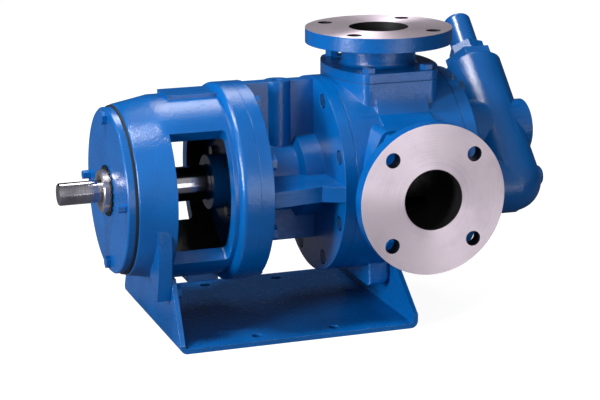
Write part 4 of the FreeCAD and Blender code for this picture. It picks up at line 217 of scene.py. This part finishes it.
def bore_shade_iron_shader(material, place):
    """Unpainted cast iron, drawn near black as painted shade inside bores and holes."""
    grit = add(
        material,
        "ShaderNodeTexNoise",
        {"Scale": 1000 / GRIT_MM, "Detail": 2.0},
        Vector=(place, "Object"),
    )
    tone = add(
        material,
        "ShaderNodeValToRGB",
        tones=((0.0, "#0c0c0e"), (1.0, "#1d1c1e")),
        n0=(grit, "Fac"),
    )
    pits = add(
        material, "ShaderNodeBump", {"Strength": 0.7, "Distance": PIT_DEPTH}, Height=(grit, "Fac")
    )
    return add(
        material,
        "ShaderNodeBsdfPrincipled",
        {"Metallic": 0.35, "Roughness": 0.55},
        Base_Color=(tone, "Color"),
        Normal=(pits, "Normal"),
    )


def bored_casting(name, *bores):
    """Enamelled casting with bare iron in its bores, near black as painted shade: each an axis,
    centre, radius and side.
    """
    material, output, place = new_material(name)
    painted = enamel_shader(material, place, *SAND_SKIN)
    bare = bore_shade_iron_shader(material, place)
    masks = []
    for axis, centre, radius, side in bores:
        reach = distance_from_line(material, place, axis, centre, side=side)
        beyond = {"operation": "GREATER_THAN", 1: radius}
        masks.append(add(material, "ShaderNodeMath", beyond, n0=(reach, "Value")))
    outside = masks.pop(0)
    for mask in masks:
        outside = add(
            material, "ShaderNodeMath", {"operation": "MULTIPLY"}, n0=(outside, 0), n1=(mask, 0)
        )
    shell = add(
        material, "ShaderNodeMixShader", n0=(outside, 0), n1=(bare, 0), n2=(painted, 0)
    )
    return finish_material(material, output, shell)


drum_bore = ("X", (0, 0, SHAFT_HEIGHT), DRUM_BORE_RADIUS, 0)
drum_enamel = bored_casting("gloss enamel on sand-cast iron, bare drum in painted shade", drum_bore)
finish_nodes(drum_enamel, "bearing_housing")

# Bearing cover: a turned iron disc on a black gasket, held by two screws and two jacking screws.
# Turned metal under paint is the smoothest blue on the pump. The gaskets are graphite sheet and
# the seals nitrile rubber, both matt and nearly black, so they show as thin dark lines.
TURNED_SKIN = (8.0, 0.025, 0.24, 0.8)

cover_enamel = enamel("gloss enamel on turned iron", *TURNED_SKIN)
finish_nodes(cover_enamel, "bearing_cover", "cover_screws", "cover_lock_screws")


def plain_material(name, dark, light, spot_mm, depth_mm, rough, metallic=0.0):
    """A finish with two mixed tones and a relief of one size."""
    material, output, place = new_material(name)
    spots = add(
        material,
        "ShaderNodeTexNoise",
        {"Scale": 1000 / spot_mm, "Detail": 2.0},
        Vector=(place, "Object"),
    )
    tone = add(
        material, "ShaderNodeValToRGB", tones=((0.3, dark), (0.7, light)), n0=(spots, "Fac")
    )
    relief = add(
        material,
        "ShaderNodeBump",
        {"Strength": 0.8, "Distance": depth_mm / 1000},
        Height=(spots, "Fac"),
    )
    shader = add(
        material,
        "ShaderNodeBsdfPrincipled",
        {"Roughness": rough, "Metallic": metallic},
        Base_Color=(tone, "Color"),
        Normal=(relief, "Normal"),
    )
    return finish_material(material, output, shader)


gasket_black = plain_material("graphite gasket sheet", "#04050a", "#0b0d14", 1.2, 0.08, 0.65)
finish_nodes(gasket_black, "cover_gasket", "bracket_gasket", "head_gasket", "valve_gasket")
finish_nodes(gasket_black, "cap_gasket", "top_port_gasket", "side_port_gasket")
seal_rubber = plain_material("moulded nitrile rubber", "#0e0e0f", "#1a1a1b", 0.9, 0.03, 0.5)
finish_nodes(seal_rubber, "cover_seal", "housing_seal")

# Shaft: ground steel bar with an empty keyway at its end, and a turned nut and toothed washer.
# Grinding and turning leave fine rings round the axis, which stretch the highlights along it.
# Real rings are a few tenths of a millimetre apart, and are drawn at 1.1 mm so that they show.
RING_PITCH_MM = 1.1
RING_DEPTH = 0.00002
STAIN_MM = 30


def ringed_metal(name, dark, light, rough, face=False):
    """Turned or ground metal: rings along the shaft, or circles round it on the end faces."""
    material, output, place = new_material(name)
    if face:
        along = distance_from_line(material, place, "X", (0, 0, SHAFT_HEIGHT))
        along_output = "Value"
    else:
        along = add(material, "ShaderNodeSeparateXYZ", n0=(place, "Object"))
        along_output = "X"
    line = add(material, "ShaderNodeCombineXYZ", n0=(along, along_output))
    rings = add(
        material,
        "ShaderNodeTexNoise",
        {"Scale": 1000 / RING_PITCH_MM, "Detail": 3.0, "Roughness": 0.7},
        Vector=(line, "Vector"),
    )
    stain = add(
        material,
        "ShaderNodeTexNoise",
        {"Scale": 1000 / STAIN_MM, "Detail": 3.0},
        Vector=(place, "Object"),
    )
    blend = add(
        material, "ShaderNodeMath", {"operation": "MULTIPLY"}, n0=(rings, "Fac"), n1=(stain, "Fac")
    )
    tone = add(
        material, "ShaderNodeValToRGB", tones=((0.12, dark), (0.36, light)), n0=(blend, 0)
    )
    cut = add(
        material,
        "ShaderNodeBump",
        {"Strength": 0.35, "Distance": RING_DEPTH},
        Height=(rings, "Fac"),
    )
    shader = add(
        material,
        "ShaderNodeBsdfPrincipled",
        {"Metallic": 1.0, "Roughness": rough},
        Base_Color=(tone, "Color"),
        Normal=(cut, "Normal"),
    )
    return finish_material(material, output, shader)


ground_steel = ringed_metal("ground shaft steel", "#85828c", "#cfccd4", 0.16)
turned_steel = ringed_metal("turned nut steel", "#aaa2a4", "#ebe3e0", 0.36, face=True)
finish_nodes(ground_steel, "drive_shaft", "rotor_key", "bearing_balls")
finish_nodes(turned_steel, "lock_nut", "spacer_collar", "bearing_inner_race", "bearing_outer_race")
# The washer is punched from sheet and blackened in oil, which leaves it dark with a soft shine.
black_steel = plain_material("blackened spring steel", "#131315", "#2c2c30", 1.5, 0.03, 0.42, 0.7)
finish_nodes(black_steel, "lock_washer")

# Seal bracket: a cast ring and flange joined by a hub and four webs, with bolts at both ends.
# It has the same pebbled casting skin as the housing; the screws in their recesses get darker
# blues, as painted shade.
# Darker blues for the recessed screws: painted shade in the recesses.
RECESS_SHADE_SKIN = (4.0, 0.05, 0.4, 0.5, ("#022c52", "#04386a"))

finish_nodes(cast_enamel, "seal_bracket")
finish_nodes(plate_enamel, "ring_screws", "seal_port_plug")
recess_shaded_enamel = enamel("enamel darkened as painted shade in a screw recess", *RECESS_SHADE_SKIN)
finish_nodes(recess_shaded_enamel, "bracket_screws")

# Packed seal: a painted cast gland that presses braided rings round the shaft, and bronze rings.
# The packing is a dull grey graphite braid, and the turned bronze glints in fine rings.
# The gland's screws have pale satin zinc plate.
finish_nodes(cast_enamel, "packing_gland")
zinc_steel = plain_material("zinc plated screws", "#8c8b84", "#b3b2aa", 3.0, 0.03, 0.34, 1.0)
finish_nodes(zinc_steel, "gland_screws")
turned_bronze = ringed_metal("turned bronze", "#7d5a2e", "#b98d52", 0.32)
finish_nodes(turned_bronze, "lantern_ring", "shaft_bushing", "idler_bushing", "bearing_cage")
graphite_braid = plain_material("graphite braid packing", "#2a2a2b", "#4a4947", 2.0, 0.5, 0.7)
finish_nodes(graphite_braid, "packing_rings")

# Pump casing: the cast barrel that carries both ports and the foot, enamelled outside.
# The bore that the gears turn in, and the one behind each port, are bare iron, drawn near black as
# painted shade.
PORT_CENTRE = (0.155, 0, SHAFT_HEIGHT)
PORT_RADIUS = 0.0384
GEAR_BORE_RADIUS = 0.0925

gear_bore = ("X", PORT_CENTRE, GEAR_BORE_RADIUS, 0)
side_bore = ("Y", PORT_CENTRE, PORT_RADIUS, -1)
top_bore = ("Z", PORT_CENTRE, PORT_RADIUS, 1)
casing_enamel = bored_casting(
    "gloss enamel on sand-cast iron, bare bores in painted shade", gear_bore, side_bore, top_bore
)
finish_nodes(casing_enamel, "pump_casing")

# Port adapters: cast flanges with bare faces, turned flat for the pipe's gasket.
# The lathe's circles draw the light out into spokes; the bores and bolt holes are near black as
# painted shade, and the rest is painted.
# Real circles are a few tenths of a millimetre apart, and are drawn at 1.6 mm so that they show.
CIRCLE_PITCH_MM = 1.6
CIRCLE_DEPTH = 0.00005
FACE_STAIN_MM = 45
FACE_REACH = 0.1865
FACE_MARGIN = 0.0003
BOLT_OFFSET = 0.05388
BOLT_HOLE_RADIUS = 0.0096


def port_finish(name, axis, way, face_level):
    """Paint outside, circles of turning on the face, and near-black bare iron in bore and holes as
    painted shade.
    """
    material, output, place = new_material(name)
    paint = enamel_shader(material, place, *SAND_SKIN)
    dark = bore_shade_iron_shader(material, place)
    reach = distance_from_line(material, place, axis, PORT_CENTRE)
    circle = add(material, "ShaderNodeCombineXYZ", n0=(reach, "Value"))
    turning = add(
        material,
        "ShaderNodeTexNoise",
        {"Scale": 1000 / CIRCLE_PITCH_MM, "Detail": 3.0, "Roughness": 0.7},
        Vector=(circle, "Vector"),
    )
    stain = add(
        material,
        "ShaderNodeTexNoise",
        {"Scale": 1000 / FACE_STAIN_MM, "Detail": 4.0},
        Vector=(place, "Object"),
    )
    mixed = add(
        material, "ShaderNodeMath", {"operation": "ADD"}, n0=(turning, "Fac"), n1=(stain, "Fac")
    )
    tone = add(
        material,
        "ShaderNodeValToRGB",
        tones=((0.55, "#ab9dab"), (1.0, "#cfc2cd")),
        n0=(mixed, 0),
    )
    groove = add(
        material,
        "ShaderNodeBump",
        {"Strength": 0.2, "Distance": CIRCLE_DEPTH},
        Height=(turning, "Fac"),
    )
    spoke = add(
        material,
        "ShaderNodeVectorMath",
        {"operation": "SUBTRACT", 1: PORT_CENTRE},
        n0=(place, "Object"),
    )
    metal = add(
        material,
        "ShaderNodeBsdfPrincipled",
        {"Metallic": 0.7, "Roughness": 0.4, "Anisotropic": 0.8},
        Base_Color=(tone, "Color"),
        Normal=(groove, "Normal"),
        Tangent=(spoke, "Vector"),
    )
    parts = add(material, "ShaderNodeSeparateXYZ", n0=(place, "Object"))
    level = add(material, "ShaderNodeMath", {"operation": "MULTIPLY", 1: way}, n0=(parts, axis))
    face = {"operation": "GREATER_THAN", 1: face_level - FACE_MARGIN}
    faced = add(material, "ShaderNodeMath", face, n0=(level, 0))
    bore = {"operation": "GREATER_THAN", 1: PORT_RADIUS}
    beyond_bore = add(material, "ShaderNodeMath", bore, n0=(reach, "Value"))
    corner = add(material, "ShaderNodeVectorMath", {"operation": "ABSOLUTE"}, n0=(spoke, "Vector"))
    bolt = [0.0 if letter == axis else BOLT_OFFSET for letter in "XYZ"]
    bolt_reach = distance_from_line(material, corner, axis, bolt, "Vector")
    hole = {"operation": "GREATER_THAN", 1: BOLT_HOLE_RADIUS}
    beyond_hole = add(material, "ShaderNodeMath", hole, n0=(bolt_reach, "Value"))
    solid = add(
        material,
        "ShaderNodeMath",
        {"operation": "MULTIPLY"},
        n0=(beyond_bore, 0),
        n1=(beyond_hole, 0),
    )
    outside = add(material, "ShaderNodeMixShader", n0=(faced, 0), n1=(paint, 0), n2=(metal, 0))
    whole = add(material, "ShaderNodeMixShader", n0=(solid, 0), n1=(dark, 0), n2=(outside, 0))
    return finish_material(material, output, whole)


top_face = SHAFT_HEIGHT + FACE_REACH
top_finish = port_finish("turned top face on enamelled cast iron", "Z", 1.0, top_face)
side_finish = port_finish("turned side face on enamelled cast iron", "Y", -1.0, FACE_REACH)
finish_nodes(top_finish, "top_port_adapter")
finish_nodes(side_finish, "side_port_adapter")
finish_nodes(plate_enamel, "top_port_screws", "side_port_screws")

# Plate corners: each adapter's bolted plate is cast whole, while its flange has four drilled holes.
# The CAD's holes run on through the plate's bowed ends, so a cast piece closes each of them.
PLUG_RADIUS = 0.00947
PLUG_SIDES = 48
PLATE_FOOT = 0.12802
PLATE_THICKNESS = 0.01196
END_RADIUS = 0.145333
END_CENTRE = 0.074333


def place_mesh(name, shape, material):
    """Makes a bmesh an object of the scene, with its material."""
    mesh = bpy.data.meshes.new(name)
    shape.to_mesh(mesh)
    shape.free()
    mesh.materials.append(material)
    piece = bpy.data.objects.new(name, mesh)
    bpy.context.scene.collection.objects.link(piece)
    return piece


def plate_corners(name, turn):
    """Four solid pieces in one adapter's plate, each a hole's round clipped by the plate's end."""
    shape = bmesh.new()
    for along, across in ((-1, -1), (1, -1), (-1, 1), (1, 1)):
        hole = Matrix.Translation((along * BOLT_OFFSET, across * BOLT_OFFSET, PLATE_FOOT))
        disc = bmesh.ops.create_circle(
            shape, cap_ends=True, segments=PLUG_SIDES, radius=PLUG_RADIUS, matrix=hole
        )
        middle = Vector((-along * END_CENTRE, 0, PLATE_FOOT))
        for point in disc["verts"]:
            spread = point.co - middle
            if spread.length > END_RADIUS:
                point.co = middle + END_RADIUS * spread.normalized()
        foot = disc["verts"][0].link_faces[:]
        raised = bmesh.ops.extrude_face_region(shape, geom=foot, use_keep_orig=True)
        top = [item for item in raised["geom"] if isinstance(item, bmesh.types.BMVert)]
        bmesh.ops.translate(shape, verts=top, vec=(0, 0, PLATE_THICKNESS))
    bmesh.ops.recalc_face_normals(shape, faces=shape.faces)
    bmesh.ops.transform(shape, matrix=Matrix.Rotation(turn, 4, "X"), verts=shape.verts)
    bmesh.ops.translate(shape, verts=shape.verts, vec=PORT_CENTRE)
    piece = place_mesh(name, shape, cast_enamel)
    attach(piece, "pump")


plate_corners("top_plate_corners", 0.0)
plate_corners("side_plate_corners", math.pi / 2)

# Gears and the valve's inner parts: cast iron with cut teeth, and turned steel, always wet.
# Machined faces with a film of oil look darker and smoother than dry iron.
oiled_iron = plain_material("oiled machined iron", "#4a494c", "#6f6d71", 9.0, 0.02, 0.24, 1.0)
finish_nodes(oiled_iron, "rotor", "idler_gear")
finish_nodes(turned_steel, "idler_pin", "relief_poppet", "spring_plate")
finish_nodes(turned_steel, "adjusting_screw", "adjuster_lock_nut")

# Rear head and relief valve: castings with the same skin, closed by a turned bonnet and cap.
# Both are bolted on through gaskets, and the head's screws in their recesses get darker blues, as
# painted shade.
finish_nodes(cast_enamel, "rear_head", "valve_body")
finish_nodes(plate_enamel, "valve_screws")
finish_nodes(recess_shaded_enamel, "head_screws")
finish_nodes(cover_enamel, "valve_bonnet", "valve_cap", "elbow_plug")

# Relief spring: wound from round steel wire, with closed and ground ends, inside the valve.
# The real spring shortens as the poppet lifts; here it is wound at one fixed length.
VALVE_CENTRE = (0.335, 0, SHAFT_HEIGHT)
VALVE_TILT = math.radians(-45)
COIL_RADIUS = 0.017
COIL_FOOT = 0.02682
COIL_TOP = 0.10848
WIRE_RADIUS = 0.0025
WIRE_SIDES = 12
STEPS_PER_TURN = 32
ACTIVE_TURNS = 6
CLOSED_RISE = 0.0051
ACTIVE_RISE = (COIL_TOP - COIL_FOOT - 2 * CLOSED_RISE) / ACTIVE_TURNS
GROUND_DEPTH = 0.0012

upright = Matrix.Rotation(math.pi / 2, 4, "X")
wire_start = Matrix.Translation((COIL_RADIUS, 0, COIL_FOOT)) @ upright
wire = bmesh.new()
bmesh.ops.create_circle(
    wire, cap_ends=True, segments=WIRE_SIDES, radius=WIRE_RADIUS, matrix=wire_start
)
wire_end = wire.verts[:] + wire.edges[:] + wire.faces[:]
for turns, rise in ((1, CLOSED_RISE), (ACTIVE_TURNS, ACTIVE_RISE), (1, CLOSED_RISE)):
    wound = bmesh.ops.spin(
        wire,
        geom=wire_end,
        axis=(0, 0, 1),
        dvec=(0, 0, rise / STEPS_PER_TURN),
        angle=2 * math.pi * turns,
        steps=turns * STEPS_PER_TURN,
    )
    wire_end = wound["geom_last"]
coil_low = COIL_FOOT - WIRE_RADIUS
coil_high = COIL_TOP + WIRE_RADIUS
for point in wire.verts:
    point.co.z = min(max(point.co.z, coil_low + GROUND_DEPTH), coil_high - GROUND_DEPTH)
for wall in wire.faces:
    wall.smooth = len(wall.verts) == 4
bmesh.ops.recalc_face_normals(wire, faces=wire.faces)
valve_axis = Matrix.Translation(VALVE_CENTRE) @ Matrix.Rotation(VALVE_TILT, 4, "X")
bmesh.ops.transform(wire, matrix=valve_axis, verts=wire.verts)
coil = place_mesh("relief_spring", wire, black_steel)
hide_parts("valve_spring")
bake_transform(coil)

# Room: a white paper sweep that runs out of sight, and soft rectangular lamps.
# The camera sees the paper and the world white, with a soft shadow. Other rays find them dull,
# so that the enamel isn't veiled by their reflection.
SWEEP_SIZE = 14.0
MOTTLE_MM = 125
GLOW_SHARE = 0.78
WHITE = linear("#ffffff")
BRIGHT_SIDE = (-0.37, -0.84, 0.40)

paper, output, place = new_material("white paper sweep")
mottle = add(
    paper,
    "ShaderNodeTexNoise",
    {"Scale": 1000 / MOTTLE_MM, "Detail": 2.0},
    Vector=(place, "Object"),
)
pale = add(
    paper, "ShaderNodeValToRGB", tones=((0.0, "#f0f0f0"), (1.0, "#f6f6f6")), n0=(mottle, "Fac")
)
matt = add(paper, "ShaderNodeBsdfDiffuse", Color=(pale, "Color"))
glow = add(paper, "ShaderNodeEmission", {"Color": WHITE, "Strength": 1.2})
lit = add(paper, "ShaderNodeMixShader", {"Fac": GLOW_SHARE}, n1=(matt, 0), n2=(glow, 0))
dull = add(paper, "ShaderNodeBsdfDiffuse", {"Color": linear("#5c5c60")})
ray = add(paper, "ShaderNodeLightPath")
seen = add(paper, "ShaderNodeMixShader", n0=(ray, "Is Camera Ray"), n1=(dull, 0), n2=(lit, 0))
finish_material(paper, output, seen)
sweep = bmesh.new()
bmesh.ops.create_grid(sweep, x_segments=2, y_segments=2, size=SWEEP_SIZE)
floor = place_mesh("studio_floor", sweep, paper)

world = bpy.data.worlds.new("studio")
bpy.context.scene.world = world
world.use_nodes = True
world.node_tree.nodes.clear()
sky = add(world, "ShaderNodeOutputWorld")
way = add(world, "ShaderNodeTexCoord")
toward = add(
    world,
    "ShaderNodeVectorMath",
    {"operation": "DOT_PRODUCT", 1: BRIGHT_SIDE},
    n0=(way, "Generated"),
)
level = add(
    world,
    "ShaderNodeMapRange",
    {"From Min": -0.2, "From Max": 0.9, "To Min": 0.03, "To Max": 0.56},
    Value=(toward, "Value"),
)
dim = add(world, "ShaderNodeBackground", {"Color": WHITE}, Strength=(level, "Result"))
bright = add(world, "ShaderNodeBackground", {"Color": WHITE, "Strength": 1.0})
ray = add(world, "ShaderNodeLightPath")
seen = add(world, "ShaderNodeMixShader", n0=(ray, "Is Camera Ray"), n1=(dim, 0), n2=(bright, 0))
finish_material(world, sky, seen)


def softbox(name, place, aim, wide, high, power):
    """A rectangular lamp aimed at a point."""
    lamp = bpy.data.lights.new(name, "AREA")
    lamp.shape = "RECTANGLE"
    lamp.size = wide
    lamp.size_y = high
    lamp.energy = power
    box = bpy.data.objects.new(name, lamp)
    box.location = place
    box.rotation_euler = (Vector(aim) - Vector(place)).to_track_quat("-Z", "Y").to_euler()
    bpy.context.scene.collection.objects.link(box)


middle = (0.05, 0.0, 0.18)
softbox("key_lamp", (-2.3, -0.9, 0.7), middle, 0.5, 0.8, 68)
softbox("left_lamp", (-0.71, -0.11, 1.87), (0.2, 0.0, 0.2), 0.22, 0.55, 34)
softbox("front_lamp", (0.78, -2.5, 0.42), middle, 0.5, 0.7, 6)
softbox("floor_card", (0.33, -1.0, 0.03), (0.0, 0.0, 0.2), 0.7, 0.2, 1.7)
softbox("back_lamp", (0.5, 1.5, 2.4), middle, 0.6, 0.9, 18)

# Camera: the photograph's own viewpoint, low at the coupling end, with a long lens.
# Its place and axes were fitted to the round forms that the photograph shows.
EYE = (-0.7624, -2.3112, 0.7769)
LENS_MM = 116.53

camera = bpy.data.objects.new("camera", bpy.data.cameras.new("camera"))
camera.data.sensor_width = 36.0
camera.data.lens = LENS_MM
axes = Matrix(
    (
        (0.94347941, 0.08692214, -0.31982987),
        (-0.33140120, 0.23444417, -0.91389779),
        (-0.00445570, 0.96823575, 0.24999935),
    )
)
camera.matrix_world = Matrix.Translation(EYE) @ axes.to_4x4()
bpy.context.scene.collection.objects.link(camera)
bpy.context.scene.camera = camera
bpy.context.scene.view_settings.view_transform = "Standard"
